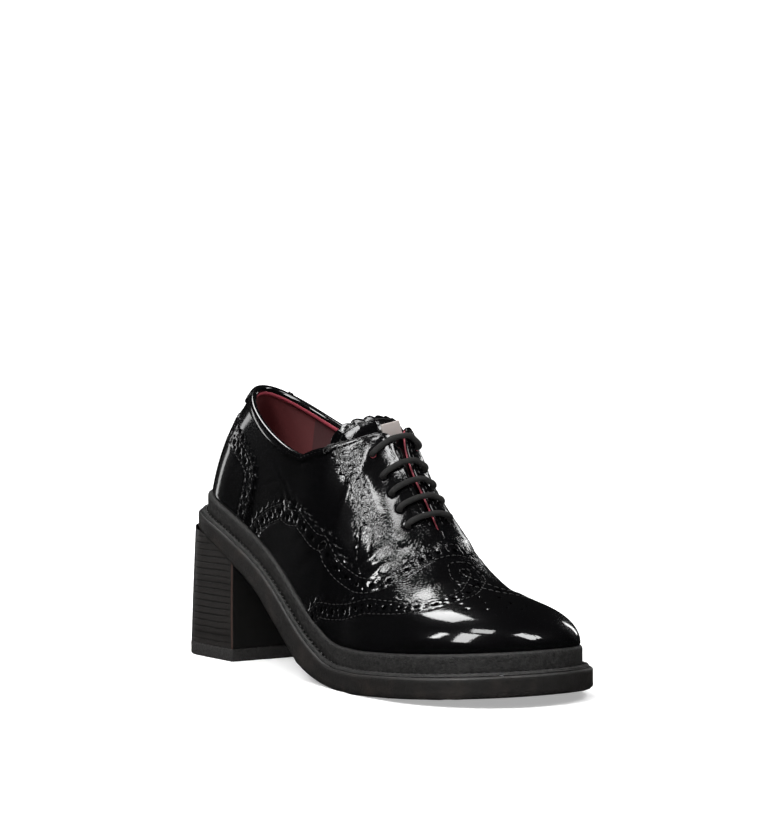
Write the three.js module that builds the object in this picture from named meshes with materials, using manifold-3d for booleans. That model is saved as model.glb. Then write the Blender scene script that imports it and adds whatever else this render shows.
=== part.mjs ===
// A women's lace-up brogue on a block heel, for the right foot.
// Millimetres. +X points to the toe, -Y to the outer (lateral) side and +Z up.
// While the pieces are made, x = 0 is the back of the outsole and z = 0 the floor.

import * as THREE from 'three';
import { mergeVertices } from 'three/addons/utils/BufferGeometryUtils.js';
import Module from 'manifold-3d';

const wasm = await Module();
wasm.setup();

// Clearance between pieces that are glued or stitched together on the real shoe
const GAP = 0.3;

// Sole: length, half widths at the ball, and how far the toe tip turns inwards
const SOLE_LENGTH = 252;
const LATERAL_BALL = 48;
const MEDIAL_BALL = 45;
const TOE_SWING = 3.5;
// Heights of the welt's top above the floor, at the heel's back and under the ball
const SEAT_HEIGHT = 71;
const BALL_HEIGHT = 10.3;
const TOE_SPRING = 4.9;
const WELT_THICKNESS = 1.6;
const WELT_WIDTH = 13;

// Rand: the band that stands on the welt around the upper
const LEDGE = 3.8;
const RAND_THICKNESS = 2.4;
const RAND_HEIGHT = 7.6;

// Upper
const UPPER_WALL = 2.2;
const COLLAR_HALF_WIDTH = 24.5;
const COLLAR_BACK = 29.5;
const COLLAR_LOW_AT = 103;
const BACK_HEIGHT = 61;
const INSTEP_HEIGHT = 90;

// Outline of the sole: half widths on each side, as shares of those at the ball,
// along the length from the heel's back (0) to the toe tip (1)
const PLAN = [
  { at: 0.00, lateral: 0.655, medial: 0.680 },
  { at: 0.14, lateral: 0.670, medial: 0.685 },
  { at: 0.25, lateral: 0.705, medial: 0.675 },
  { at: 0.34, lateral: 0.755, medial: 0.665 },
  { at: 0.44, lateral: 0.830, medial: 0.705 },
  { at: 0.53, lateral: 0.895, medial: 0.800 },
  { at: 0.62, lateral: 0.940, medial: 0.910 },
  { at: 0.72, lateral: 1.000, medial: 1.000 },
  { at: 0.82, lateral: 1.000, medial: 0.975 },
  { at: 1.00, lateral: 0.950, medial: 0.890 },
];
// The outline closes at both ends as a part of a superellipse
const HEEL_ROUND = { reach: 0.135, power: 2.2 };
const TOE_ROUND = { reach: 0.22, power: 2.3 };

// Side view of the sole: rise of the welt's top as a share of the climb from ball to seat,
// and the sole's thickness below it as a share of the height under the ball
const PROFILE = [
  { at: 0.00, rise: 1.000, thickness: 0.97 },
  { at: 0.06, rise: 0.970, thickness: 0.97 },
  { at: 0.23, rise: 0.750, thickness: 1.12 },
  { at: 0.32, rise: 0.605, thickness: 1.25 },
  { at: 0.40, rise: 0.440, thickness: 1.46 },
  { at: 0.49, rise: 0.220, thickness: 1.47 },
  { at: 0.55, rise: 0.098, thickness: 1.26 },
  { at: 0.60, rise: 0.020, thickness: 1.04 },
  { at: 0.64, rise: 0.000, thickness: 1.00 },
  { at: 1.00, rise: 0.000, thickness: 1.00 },
];
const SPRING_FROM = 0.70;
const SPRING_POWER = 1.2;
const SWING_FROM = 0.45;

// Top edge of the upper in front of the collar's lowest point. half: half width of the
// opening as a share of the collar's, 0 where the two sides meet. height: above the welt,
// as a share of the instep's. trim: how far round its arch the section goes, in degrees.
// power: fullness of the arch, 2 for an ellipse. lean: straightness of the wall.
const TOP_EDGE = [
  { at: 0.409, half: 1.00, middle: 0.00, height: 0.678, trim: 45, power: 2.00, lean: 0.40 },
  { at: 0.446, half: 0.98, middle: 0.02, height: 0.770, trim: 50, power: 2.00, lean: 0.32 },
  { at: 0.484, half: 0.88, middle: 0.05, height: 0.857, trim: 57, power: 1.95, lean: 0.22 },
  { at: 0.508, half: 0.66, middle: 0.09, height: 0.922, trim: 64, power: 1.90, lean: 0.14 },
  { at: 0.532, half: 0.32, middle: 0.13, height: 0.985, trim: 76, power: 1.80, lean: 0.06 },
  { at: 0.544, half: 0.18, middle: 0.15, height: 0.997, trim: 81, power: 1.75, lean: 0.00 },
  { at: 0.560, half: 0.14, middle: 0.15, height: 0.957, trim: 83, power: 1.70, lean: 0.00 },
  { at: 0.587, half: 0.10, middle: 0.15, height: 0.888, trim: 84, power: 1.65, lean: 0.00 },
  { at: 0.642, half: 0.08, middle: 0.13, height: 0.742, trim: 86, power: 1.60, lean: 0.00 },
  { at: 0.663, half: 0.06, middle: 0.12, height: 0.662, trim: 88, power: 1.60, lean: 0.00 },
  { at: 0.680, half: 0.00, middle: 0.11, height: 0.600, trim: 90, power: 1.60, lean: 0.00 },
  { at: 0.714, half: 0.00, middle: 0.08, height: 0.502, trim: 90, power: 1.65, lean: 0.00 },
  { at: 0.766, half: 0.00, middle: 0.04, height: 0.384, trim: 90, power: 1.85, lean: 0.00 },
  { at: 0.829, half: 0.00, middle: 0.00, height: 0.318, trim: 90, power: 2.05, lean: 0.00 },
  { at: 0.893, half: 0.00, middle: 0.00, height: 0.290, trim: 90, power: 2.20, lean: 0.00 },
  { at: 1.000, half: 0.00, middle: 0.00, height: 0.255, trim: 90, power: 2.20, lean: 0.00 },
];
// The toe's top closes later than its outline
const TOE_DOME = { reach: 0.20, power: 2.2 };
// The collar climbs to the back with this power of the distance
const COLLAR_SWEEP = 1.38;

const clamp = (value, low, high) => Math.min(Math.max(value, low), high);
const mix = (a, b, share) => a + (b - a) * share;

// One column of a table at any place, on a smooth curve that never overshoots its rows
function along(rows, name, at) {
  const last = rows.length - 1;
  const place = clamp(at, rows[0].at, rows[last].at);
  let row = 0;
  while (row < last - 1 && place > rows[row + 1].at) row += 1;
  const step = (i) => (rows[i + 1][name] - rows[i][name]) / (rows[i + 1].at - rows[i].at);
  const slope = (i) => {
    if (i === 0) return step(0);
    if (i === last) return step(last - 1);
    const product = step(i - 1) * step(i);
    return product > 0 ? (2 * product) / (step(i - 1) + step(i)) : 0;
  };
  const width = rows[row + 1].at - rows[row].at;
  const t = (place - rows[row].at) / width;
  const start = rows[row][name] * (1 + 2 * t) + slope(row) * width * t;
  const end = rows[row + 1][name] * (3 - 2 * t) - slope(row + 1) * width * (1 - t);
  return start * (1 - t) ** 2 + end * t ** 2;
}

// Quarter of a superellipse: 1 at share 0, falling to 0 at share 1
const closing = (share, power) => (1 - clamp(share, 0, 1) ** power) ** (1 / power);
const swing = (x) => TOE_SWING * clamp((x / SOLE_LENGTH - SWING_FROM) / (1 - SWING_FROM), 0, 1) ** 2;

// Top of the welt and bottom of the sole, above the floor
function weltTop(x) {
  const at = x / SOLE_LENGTH;
  const spring = TOE_SPRING * clamp((at - SPRING_FROM) / (1 - SPRING_FROM), 0, 1) ** SPRING_POWER;
  return BALL_HEIGHT + (SEAT_HEIGHT - BALL_HEIGHT) * along(PROFILE, 'rise', at) + spring;
}
const soleBottom = (x) => weltTop(x) - BALL_HEIGHT * along(PROFILE, 'thickness', x / SOLE_LENGTH);

// A point of the sole's outline, drawn in by inset. side is -1 lateral, 1 medial;
// share runs from the heel's back to the toe tip of that drawn-in outline.
function outline(side, share, inset) {
  const full = side < 0
    ? LATERAL_BALL * along(PLAN, 'lateral', share)
    : MEDIAL_BALL * along(PLAN, 'medial', share);
  const heel = closing((HEEL_ROUND.reach - share) / HEEL_ROUND.reach, HEEL_ROUND.power);
  const toe = closing((share - 1 + TOE_ROUND.reach) / TOE_ROUND.reach, TOE_ROUND.power);
  const x = mix(inset, SOLE_LENGTH - inset, share);
  return { x, y: side * (full - inset) * heel * toe + swing(x) };
}

// The upper stands inside the rand and leaves it at the feather line
const UPPER_INSET = LEDGE + RAND_THICKNESS + GAP;
const FEATHER = GAP + RAND_HEIGHT + GAP;

// A point of the upper. share: along the outline. s: 0 at the feather line, 1 at the top
// edge, -1 at the foot of the wall behind the rand. depth: into the wall, from its outer face.
function onUpper(side, share, s, depth) {
  const nominal = mix(UPPER_INSET, SOLE_LENGTH - UPPER_INSET, share);
  const front = Math.max(nominal, COLLAR_LOW_AT) / SOLE_LENGTH;
  const inset = UPPER_INSET + depth;
  const foot = outline(side, share, inset);
  if (s < 0) return new THREE.Vector3(foot.x, foot.y, weltTop(foot.x) + GAP);
  const trim = THREE.MathUtils.degToRad(along(TOP_EDGE, 'trim', front));
  const inwards = depth * Math.cos(trim);
  const half = Math.max(COLLAR_HALF_WIDTH * along(TOP_EDGE, 'half', front) - inwards, 0);
  const footZ = weltTop(foot.x) + FEATHER;
  const top = { x: foot.x, y: side * half, z: 0 };
  if (nominal < COLLAR_LOW_AT) {
    const rear = (nominal - UPPER_INSET) / (COLLAR_LOW_AT - UPPER_INSET);
    const low = weltTop(COLLAR_LOW_AT) + INSTEP_HEIGHT * TOP_EDGE[0].height;
    const back = weltTop(COLLAR_BACK) + BACK_HEIGHT;
    const end = mix(inset, SOLE_LENGTH - inset, (COLLAR_LOW_AT - UPPER_INSET) / (SOLE_LENGTH - 2 * UPPER_INSET));
    top.x = mix(COLLAR_BACK + inwards, end, rear);
    top.y = side * half * Math.sqrt(1 - (1 - rear) ** 2);
    top.z = mix(low, back, (1 - rear) ** COLLAR_SWEEP) - depth * Math.sin(trim);
  } else {
    const height = INSTEP_HEIGHT * along(TOP_EDGE, 'height', front) - FEATHER - depth * Math.sin(trim);
    const dome = closing((share - 1 + TOE_DOME.reach) / TOE_DOME.reach, TOE_DOME.power);
    top.z = footZ + height * dome;
  }
  top.y += swing(top.x) + COLLAR_HALF_WIDTH * along(TOP_EDGE, 'middle', front);
  const bend = 2 / along(TOP_EDGE, 'power', front);
  const rise = (angle) => Math.sin(angle) ** bend;
  const fall = (angle) => 1 - Math.max(Math.cos(angle), 0) ** bend;
  const up = rise(s * trim) / rise(trim);
  const arch = fall(s * trim) / fall(trim);
  const inTo = mix(arch, up, along(TOP_EDGE, 'lean', front));
  return new THREE.Vector3(mix(foot.x, top.x, inTo), mix(foot.y, top.y, inTo), mix(footZ, top.z, up));
}

// Sizes of the remaining pieces
const WELT_TUCK = 0.5;
const EDGE_ROUND = 1.2;
const HEEL_HALF_WIDTH = 32;
const HEEL_FRONT = 54;
const HEEL_BACK_FLARE = 1.5;
const HEEL_SIDE_FLARE = 1.4;
const HEEL_TOP_LIFT = 6;
const HEEL_CURVE = { reach: 0.45, power: 2.3 };
const INSOLE_THICKNESS = 3;
const OVERLAY = 1.1;
const OVERLAY_GAP = 0.55;
const TONGUE_WALL = 2.4;
const TONGUE_CLEARANCE = 1.6;
// How far the tongue runs on beyond the facings, along the shoe
const TONGUE_BEYOND = 10.843;
const TONGUE_RISE = 0.72;
const TONGUE_SPREAD = 0.30;
// The share of the tongue's half width that bridges the slit, and how much its corners are cut
const TONGUE_BRIDGE = 0.25;
const TONGUE_CORNERS = { cut: 0.35, power: 4 };
const PLATE = { length: 8, width: 14, thickness: 1.2 };
const LACE_DIAMETER = 3.4;
const LACE_LIFT = 0.7;
const EYELET_DIAMETER = 4.6;
const EYELET_MARGIN = 9.5;
// Where the lace bends on its way to the slit, as shares, and how deep it sits in the eyelet
const LACE_BENDS = { rising: 0.14, lying: 0.5, edge: 0.95 };
const LACE_SINK = 1.2;
const LACE_CROWN = 0.1;
const LACE_FACETS = { sides: 6, steps: 16 };
const PUNCH_FACETS = 8;
const PUNCH_REACH = 4;

// Edges of the overlays on one side of the shoe. share and up place a point on the upper,
// as in onUpper. at runs from the sole, or the collar for the eyestay, to the edge's far end.
const VAMP_EDGE = [
  { at: 0.00, share: 0.236, up: 0.000 },
  { at: 0.08, share: 0.253, up: 0.150 },
  { at: 0.16, share: 0.280, up: 0.283 },
  { at: 0.27, share: 0.327, up: 0.450 },
  { at: 0.37, share: 0.377, up: 0.550 },
  { at: 0.47, share: 0.430, up: 0.550 },
  { at: 0.56, share: 0.477, up: 0.490 },
  { at: 0.64, share: 0.523, up: 0.410 },
  { at: 0.72, share: 0.572, up: 0.380 },
  { at: 0.79, share: 0.617, up: 0.400 },
  { at: 0.86, share: 0.660, up: 0.440 },
  { at: 0.91, share: 0.687, up: 0.550 },
  { at: 0.95, share: 0.692, up: 0.720 },
  { at: 1.00, share: 0.700, up: 1.000 },
];
const WING_EDGE = [
  { at: 0.00, share: 0.500, up: 0.000 },
  { at: 0.10, share: 0.520, up: 0.083 },
  { at: 0.25, share: 0.583, up: 0.200 },
  { at: 0.42, share: 0.650, up: 0.300 },
  { at: 0.54, share: 0.690, up: 0.383 },
  { at: 0.66, share: 0.738, up: 0.467 },
  { at: 0.77, share: 0.781, up: 0.567 },
  { at: 0.84, share: 0.806, up: 0.667 },
  { at: 0.90, share: 0.804, up: 0.783 },
  { at: 0.95, share: 0.784, up: 0.883 },
  { at: 1.00, share: 0.765, up: 1.000 },
];
const EYESTAY_EDGE = [
  { at: 0.00, share: 0.474, up: 1.000 },
  { at: 0.20, share: 0.500, up: 0.810 },
  { at: 0.42, share: 0.534, up: 0.620 },
  { at: 0.60, share: 0.563, up: 0.550 },
  { at: 0.78, share: 0.583, up: 0.500 },
  { at: 1.00, share: 0.602, up: 0.462 },
];
const COUNTER_EDGE = [
  { at: 0.00, share: 0.224, up: 0.000 },
  { at: 0.20, share: 0.229, up: 0.160 },
  { at: 0.35, share: 0.233, up: 0.283 },
  { at: 0.50, share: 0.233, up: 0.433 },
  { at: 0.62, share: 0.226, up: 0.550 },
  { at: 0.72, share: 0.208, up: 0.633 },
  { at: 0.80, share: 0.183, up: 0.683 },
  { at: 0.87, share: 0.137, up: 0.717 },
  { at: 0.93, share: 0.085, up: 0.740 },
  { at: 1.00, share: 0.000, up: 0.760 },
];
const TAB_EDGE = [
  { at: 0.0, share: 0.000, up: 0.800 },
  { at: 0.3, share: 0.022, up: 0.850 },
  { at: 0.6, share: 0.036, up: 0.930 },
  { at: 1.0, share: 0.045, up: 1.000 },
];
// Where the facings begin at the collar and end on the vamp, as shares of the outline
const FACING = { from: 0.537, to: 0.684 };
// Share of the outline at which each pair of eyelets sits, from the top down
const EYELETS = [0.552, 0.580, 0.607, 0.634, 0.661];
// Clearance between neighbouring overlays, as a share of the outline or of the wall, and
// how many clearances the vamp keeps from the cap and the eyestay from the vamp
const EDGE_CLEARANCE = 0.004;
const VAMP_CLEARANCES = 4;
const EYESTAY_CLEARANCES = { share: 5, up: 9 };
// The row of VAMP_EDGE at which the eyestay's lower end begins
const EYESTAY_VAMP_ROW = 9;
// Places along an overlay's edge, and how closely they crowd towards where it turns
const EDGE_STEPS = 12;
const OVERLAY_STEPS = { cap: 12, vamp: 5, eyestay: [12, 5], counter: [12, 16], tab: [5, 8], tongue: [10, 12] };
const WING_LAG = 1.55;
const MIDDLE_CROWDING = 1.6;
const TIP_CROWDING = 2.4;
// Small steps for measuring directions and distances on the leather, as shares
const PROBE = { direction: 0.01, slope: 0.03, eyelet: 0.005 };

// Builds a closed mesh from quads and triangles given by their corners. Corners that
// coincide are one vertex, and faces that collapse to a line are left out.
class Skin {
  constructor() {
    this.index = new Map();
    this.vertices = [];
    this.triangles = [];
  }

  vertex(point) {
    const key = [point.x, point.y, point.z].map((value) => Math.round(value * 1e4)).join();
    if (!this.index.has(key)) {
      this.index.set(key, this.vertices.length);
      this.vertices.push(point);
    }
    return this.index.get(key);
  }

  triangle(...corners) {
    const ids = corners.map((corner) => this.vertex(corner));
    if (new Set(ids).size === 3) this.triangles.push(ids);
  }

  // Splits along the shorter diagonal
  quad(a, b, c, d) {
    if (a.distanceTo(c) <= b.distanceTo(d)) {
      this.triangle(a, b, c);
      this.triangle(a, c, d);
    } else {
      this.triangle(a, b, d);
      this.triangle(b, c, d);
    }
  }

  volume() {
    const [a, b, c] = [new THREE.Vector3(), new THREE.Vector3(), new THREE.Vector3()];
    let total = 0;
    for (const [i, j, k] of this.triangles) {
      a.copy(this.vertices[i]);
      b.copy(this.vertices[j]);
      c.copy(this.vertices[k]);
      total += a.dot(b.cross(c)) / 6;
    }
    return total;
  }

  // The faces point out of the body
  geometry() {
    const outwards = this.volume() > 0;
    const ids = this.triangles.flatMap(([i, j, k]) => (outwards ? [i, j, k] : [i, k, j]));
    const geometry = new THREE.BufferGeometry();
    geometry.setFromPoints(this.vertices);
    geometry.setIndex(ids);
    return geometry;
  }
}

const steps = (count) => Array.from({ length: count + 1 }, (_, i) => i / count);
// Shares of the length, closer together at both ends where the outline turns
const LENGTHWISE = steps(40).map((t) => (1 - Math.cos(Math.PI * t)) / 2);

// A body between two grids of points of the same size, closed around their borders
function sheet(outer, inner) {
  const skin = new Skin();
  const rows = outer.length - 1;
  const columns = outer[0].length - 1;
  for (let i = 0; i < rows; i += 1) {
    for (let j = 0; j < columns; j += 1) {
      skin.quad(outer[i][j], outer[i + 1][j], outer[i + 1][j + 1], outer[i][j + 1]);
      skin.quad(inner[i][j + 1], inner[i + 1][j + 1], inner[i + 1][j], inner[i][j]);
    }
    skin.quad(outer[i + 1][0], outer[i][0], inner[i][0], inner[i + 1][0]);
    skin.quad(outer[i][columns], outer[i + 1][columns], inner[i + 1][columns], inner[i][columns]);
  }
  for (let j = 0; j < columns; j += 1) {
    skin.quad(outer[0][j], outer[0][j + 1], inner[0][j + 1], inner[0][j]);
    skin.quad(outer[rows][j + 1], outer[rows][j], inner[rows][j], inner[rows][j + 1]);
  }
  return skin.geometry();
}

// A body that follows the outline: each rail is a closed loop, given as (side, share) => point
function walls(skin, rails) {
  for (let r = 1; r < rails.length; r += 1) {
    for (const side of [-1, 1]) {
      for (let i = 1; i < LENGTHWISE.length; i += 1) {
        const [a, b] = [LENGTHWISE[i - 1], LENGTHWISE[i]];
        const corners = [rails[r - 1](side, a), rails[r - 1](side, b), rails[r](side, b), rails[r](side, a)];
        if (side < 0) skin.quad(...corners);
        else skin.quad(...corners.reverse());
      }
    }
  }
}

const rail = (inset, height) => (side, share) => {
  const { x, y } = outline(side, share, inset);
  return new THREE.Vector3(x, y, height(x));
};

// A solid plate: walls with a lid and a floor that run straight from side to side
function plate(rails) {
  const skin = new Skin();
  walls(skin, rails);
  const [floor, lid] = [rails[0], rails[rails.length - 1]];
  for (let i = 1; i < LENGTHWISE.length; i += 1) {
    const [a, b] = [LENGTHWISE[i - 1], LENGTHWISE[i]];
    skin.quad(lid(-1, a), lid(-1, b), lid(1, b), lid(1, a));
    skin.quad(floor(1, a), floor(1, b), floor(-1, b), floor(-1, a));
  }
  return skin.geometry();
}

// A ring: the last rail is joined to the first
function ring(rails) {
  const skin = new Skin();
  walls(skin, [...rails, rails[0]]);
  return skin.geometry();
}

function outsole() {
  const top = (x) => weltTop(x) - WELT_THICKNESS - GAP;
  return plate([
    rail(EDGE_ROUND, soleBottom),
    rail(0, (x) => soleBottom(x) + EDGE_ROUND),
    rail(0, (x) => top(x) - EDGE_ROUND / 2),
    rail(EDGE_ROUND / 2, top),
  ]);
}

function welt() {
  const bottom = (x) => weltTop(x) - WELT_THICKNESS;
  return ring([
    rail(WELT_TUCK, bottom),
    rail(WELT_TUCK, weltTop),
    rail(WELT_WIDTH, weltTop),
    rail(WELT_WIDTH, bottom),
  ]);
}

function rand() {
  const bottom = (x) => weltTop(x) + GAP;
  const top = (x) => weltTop(x) + GAP + RAND_HEIGHT;
  const inner = LEDGE + RAND_THICKNESS;
  return ring([
    rail(LEDGE, bottom),
    rail(LEDGE, (x) => top(x) - EDGE_ROUND),
    rail(LEDGE + EDGE_ROUND, top),
    rail(inner, top),
    rail(inner, bottom),
  ]);
}

function insole() {
  const inset = UPPER_INSET + UPPER_WALL + GAP;
  return plate([
    rail(inset, (x) => weltTop(x) + GAP),
    rail(inset, (x) => weltTop(x) + GAP + INSOLE_THICKNESS),
  ]);
}

// The block heel widens towards the floor. drop: 0 under the sole, 1 on the floor
function heelPoint(side, share, height, drop) {
  const back = -HEEL_BACK_FLARE * drop ** 2;
  const front = mix(HEEL_FRONT - HEEL_BACK_FLARE, HEEL_FRONT, drop);
  const round = closing((HEEL_CURVE.reach - share) / HEEL_CURVE.reach, HEEL_CURVE.power);
  const half = HEEL_HALF_WIDTH - HEEL_SIDE_FLARE * (1 - drop) ** 2;
  const x = mix(back + HEEL_BACK_FLARE * (1 - drop), front, share);
  return new THREE.Vector3(x, side * half * round, height(x));
}

// A slice of the heel between two heights, each a function of x
function heelSlice(bottom, top, dropBottom, dropTop, levels) {
  const skin = new Skin();
  const shares = steps(16).map((t) => 1 - Math.cos((Math.PI / 2) * t));
  const point = (side, share, level) => {
    const drop = mix(dropBottom, dropTop, level);
    const height = (x) => mix(bottom(x), top(x), level);
    return heelPoint(side, share, height, drop);
  };
  for (let i = 1; i < shares.length; i += 1) {
    const [a, b] = [shares[i - 1], shares[i]];
    for (const [low, high] of levels) {
      skin.quad(point(-1, a, low), point(-1, b, low), point(-1, b, high), point(-1, a, high));
      skin.quad(point(1, b, low), point(1, a, low), point(1, a, high), point(1, b, high));
    }
    skin.quad(point(-1, a, 1), point(-1, b, 1), point(1, b, 1), point(1, a, 1));
    skin.quad(point(1, a, 0), point(1, b, 0), point(-1, b, 0), point(-1, a, 0));
  }
  for (const [low, high] of levels) {
    skin.quad(point(-1, 1, low), point(1, 1, low), point(1, 1, high), point(-1, 1, high));
  }
  return skin.geometry();
}

// Pairs of neighbouring values
const pairs = (values) => values.slice(1).map((value, i) => [values[i], value]);

function heelBlock() {
  const under = (x) => soleBottom(x) - GAP;
  return heelSlice(() => HEEL_TOP_LIFT + GAP, under, 1, 0, pairs(steps(4)));
}

function heelLift() {
  return heelSlice(() => 0, () => HEEL_TOP_LIFT, 1, 1, pairs(steps(1)));
}

// Heights on the upper's wall: behind the rand first, then up to the top edge
const UPWARDS = [-1, ...steps(7)];

function upper() {
  const skin = new Skin();
  for (const side of [-1, 1]) {
    for (const [a, b] of pairs(LENGTHWISE)) {
      for (const [low, high] of pairs(UPWARDS)) {
        const faces = [0, UPPER_WALL].map((depth) => [
          onUpper(side, a, low, depth),
          onUpper(side, b, low, depth),
          onUpper(side, b, high, depth),
          onUpper(side, a, high, depth),
        ]);
        if (side < 0) faces[1].reverse();
        else faces[0].reverse();
        skin.quad(...faces[0]);
        skin.quad(...faces[1]);
      }
      const foot = [0, UPPER_WALL].map((depth) => [a, b].map((share) => onUpper(side, share, -1, depth)));
      const edge = [0, UPPER_WALL].map((depth) => [a, b].map((share) => onUpper(side, share, 1, depth)));
      const open = [a, b].some((share) => openHalf(share) > 0);
      const rims = open ? [[foot[1], foot[0]], [edge[0], edge[1]]] : [[foot[1], foot[0]]];
      for (const [near, far] of rims) {
        const corners = [near[0], near[1], far[1], far[0]];
        if (side > 0) corners.reverse();
        skin.quad(...corners);
      }
    }
  }
  return skin.geometry();
}

// Half width of the opening between the two sides, 0 where they are one
function openHalf(share) {
  const nominal = mix(UPPER_INSET, SOLE_LENGTH - UPPER_INSET, share);
  return along(TOP_EDGE, 'half', Math.max(nominal, COLLAR_LOW_AT) / SOLE_LENGTH);
}

const OVERLAY_INNER = -OVERLAY_GAP;
const OVERLAY_OUTER = -OVERLAY_GAP - OVERLAY;

// A point over the front of the shoe. cross: -1 at the lateral feather line, 0 on the
// middle line, 1 at the medial feather line
const onFront = (share, cross, depth) => onUpper(cross < 0 ? -1 : 1, share, 1 - Math.abs(cross), depth);

// Steps from 0 to 1 that grow shorter towards 1, where a surface turns fastest
const crowded = (t, power) => 1 - (1 - t) ** power;

// Both halves of an edge as one run of places, from the lateral sole over the middle
// line to the medial sole
function fullEdge(rows, place) {
  const half = steps(EDGE_STEPS).map(place).map((at) => ({
    share: along(rows, 'share', at),
    cross: along(rows, 'up', at) - 1,
  }));
  const other = half.slice(0, -1).reverse().map(({ share, cross }) => ({ share, cross: -cross }));
  return [...half, ...other];
}

// An overlay across the front, from one run of places to another
function frontOverlay(from, to, rows) {
  const grid = (depth) => rows.map((row) => from.map((start, i) => (
    onFront(mix(start.share, to[i].share, row), mix(start.cross, to[i].cross, row) * (1 - EDGE_CLEARANCE), depth)
  )));
  return sheet(grid(OVERLAY_OUTER), grid(OVERLAY_INNER));
}

function toeCap() {
  const from = fullEdge(WING_EDGE, (t) => t ** WING_LAG);
  const to = from.map((_, i) => ({ share: 1, cross: mix(-1, 1, i / (from.length - 1)) }));
  return frontOverlay(from, to, steps(OVERLAY_STEPS.cap).map((t) => crowded(t, TIP_CROWDING)));
}

function vampOverlay() {
  const from = fullEdge(VAMP_EDGE, (t) => crowded(t, MIDDLE_CROWDING));
  const to = fullEdge(WING_EDGE, (t) => t ** WING_LAG).map(({ share, cross }) => ({
    share: share - EDGE_CLEARANCE,
    cross: cross * (1 - VAMP_CLEARANCES * EDGE_CLEARANCE),
  }));
  return frontOverlay(from, to, steps(OVERLAY_STEPS.vamp));
}

// An overlay around the back, from the lateral edge to the medial one, one row for each
// place along its edge
function backOverlay(edge, [rows, columns], crowding) {
  const heights = steps(rows).map((t) => crowded(t, crowding));
  const grid = (depth) => heights.map((at) => steps(columns).map((t) => {
    const side = t < 0.5 ? -1 : 1;
    // The heel turns fastest at the middle of the back, so the columns are closest there
    const share = (2 * t - 1) ** 2 * along(edge, 'share', at);
    return onUpper(side, share, along(edge, 'up', at), depth);
  }));
  return sheet(grid(OVERLAY_OUTER), grid(OVERLAY_INNER));
}

// The eyestay lies between four edges: its own outer edge, the facing's edge, the collar
// and the vamp
function eyestayPlace(down, across) {
  const outer = (t) => [along(EYESTAY_EDGE, 'share', t), along(EYESTAY_EDGE, 'up', t)];
  const facing = (t) => [mix(FACING.from, FACING.to, t), 1];
  const collar = (t) => [mix(outer(0)[0], FACING.from, t), 1];
  const vampFrom = VAMP_EDGE[EYESTAY_VAMP_ROW].at;
  const vamp = (t) => {
    const at = mix(vampFrom, 1, t);
    return [
      along(VAMP_EDGE, 'share', at) - EYESTAY_CLEARANCES.share * EDGE_CLEARANCE,
      along(VAMP_EDGE, 'up', at) + EYESTAY_CLEARANCES.up * EDGE_CLEARANCE,
    ];
  };
  return [0, 1].map((i) => {
    const sides = mix(outer(down)[i], facing(down)[i], across);
    const ends = mix(collar(across)[i], vamp(across)[i], down);
    const near = mix(outer(0)[i], facing(0)[i], across);
    const far = mix(outer(1)[i], facing(1)[i], across);
    return sides + ends - mix(near, far, down);
  });
}

function eyestay(side) {
  const [rows, columns] = OVERLAY_STEPS.eyestay;
  const grid = (depth) => steps(rows).map((down) => steps(columns).map((across) => {
    const [share, up] = eyestayPlace(down, across);
    return onUpper(side, share, Math.min(up, 1), depth);
  }));
  return sheet(grid(OVERLAY_OUTER), grid(OVERLAY_INNER));
}

// A point on the outside of the overlay and the direction out of the leather there
function leather(side, share, up) {
  const centre = onUpper(side, share, up, OVERLAY_OUTER);
  const forwards = onUpper(side, share + PROBE.direction, up, OVERLAY_OUTER).sub(centre);
  const downwards = onUpper(side, share, up - PROBE.direction, OVERLAY_OUTER).sub(centre);
  const outwards = forwards.cross(downwards).multiplyScalar(side).normalize();
  return { centre, outwards };
}

// How far up its side an eyelet lies, at the named margin from the facing's edge
function eyeletUp(side, share) {
  const edge = onUpper(side, share, 1, OVERLAY_OUTER);
  let up = 1;
  while (onUpper(side, share, up, OVERLAY_OUTER).distanceTo(edge) < EYELET_MARGIN) up -= PROBE.eyelet;
  return up;
}

const eyelet = (side, share) => leather(side, share, eyeletUp(side, share));

// A punch along each eyelet, through leather and overlay
function punch({ centre, outwards }) {
  const radius = EYELET_DIAMETER / 2;
  const geometry = new THREE.CylinderGeometry(radius, radius, PUNCH_REACH * UPPER_WALL, PUNCH_FACETS);
  const turn = new THREE.Quaternion().setFromUnitVectors(new THREE.Vector3(0, 1, 0), outwards);
  return geometry.applyQuaternion(turn).translate(centre.x, centre.y, centre.z);
}

function toSolid(geometry) {
  const bare = geometry.clone();
  bare.deleteAttribute('normal');
  bare.deleteAttribute('uv');
  const merged = mergeVertices(bare);
  return new wasm.Manifold(new wasm.Mesh({
    numProp: 3,
    vertProperties: new Float32Array(merged.attributes.position.array),
    triVerts: new Uint32Array(merged.index.array),
  }));
}

function pierced(geometry, sides) {
  let solid = toSolid(geometry);
  for (const side of sides) {
    for (const share of EYELETS) solid = solid.subtract(toSolid(punch(eyelet(side, share))));
  }
  const { vertProperties, triVerts } = solid.getMesh();
  const cut = new THREE.BufferGeometry();
  cut.setAttribute('position', new THREE.BufferAttribute(vertProperties, 3));
  cut.setIndex(new THREE.BufferAttribute(triVerts, 1));
  return cut;
}

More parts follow.
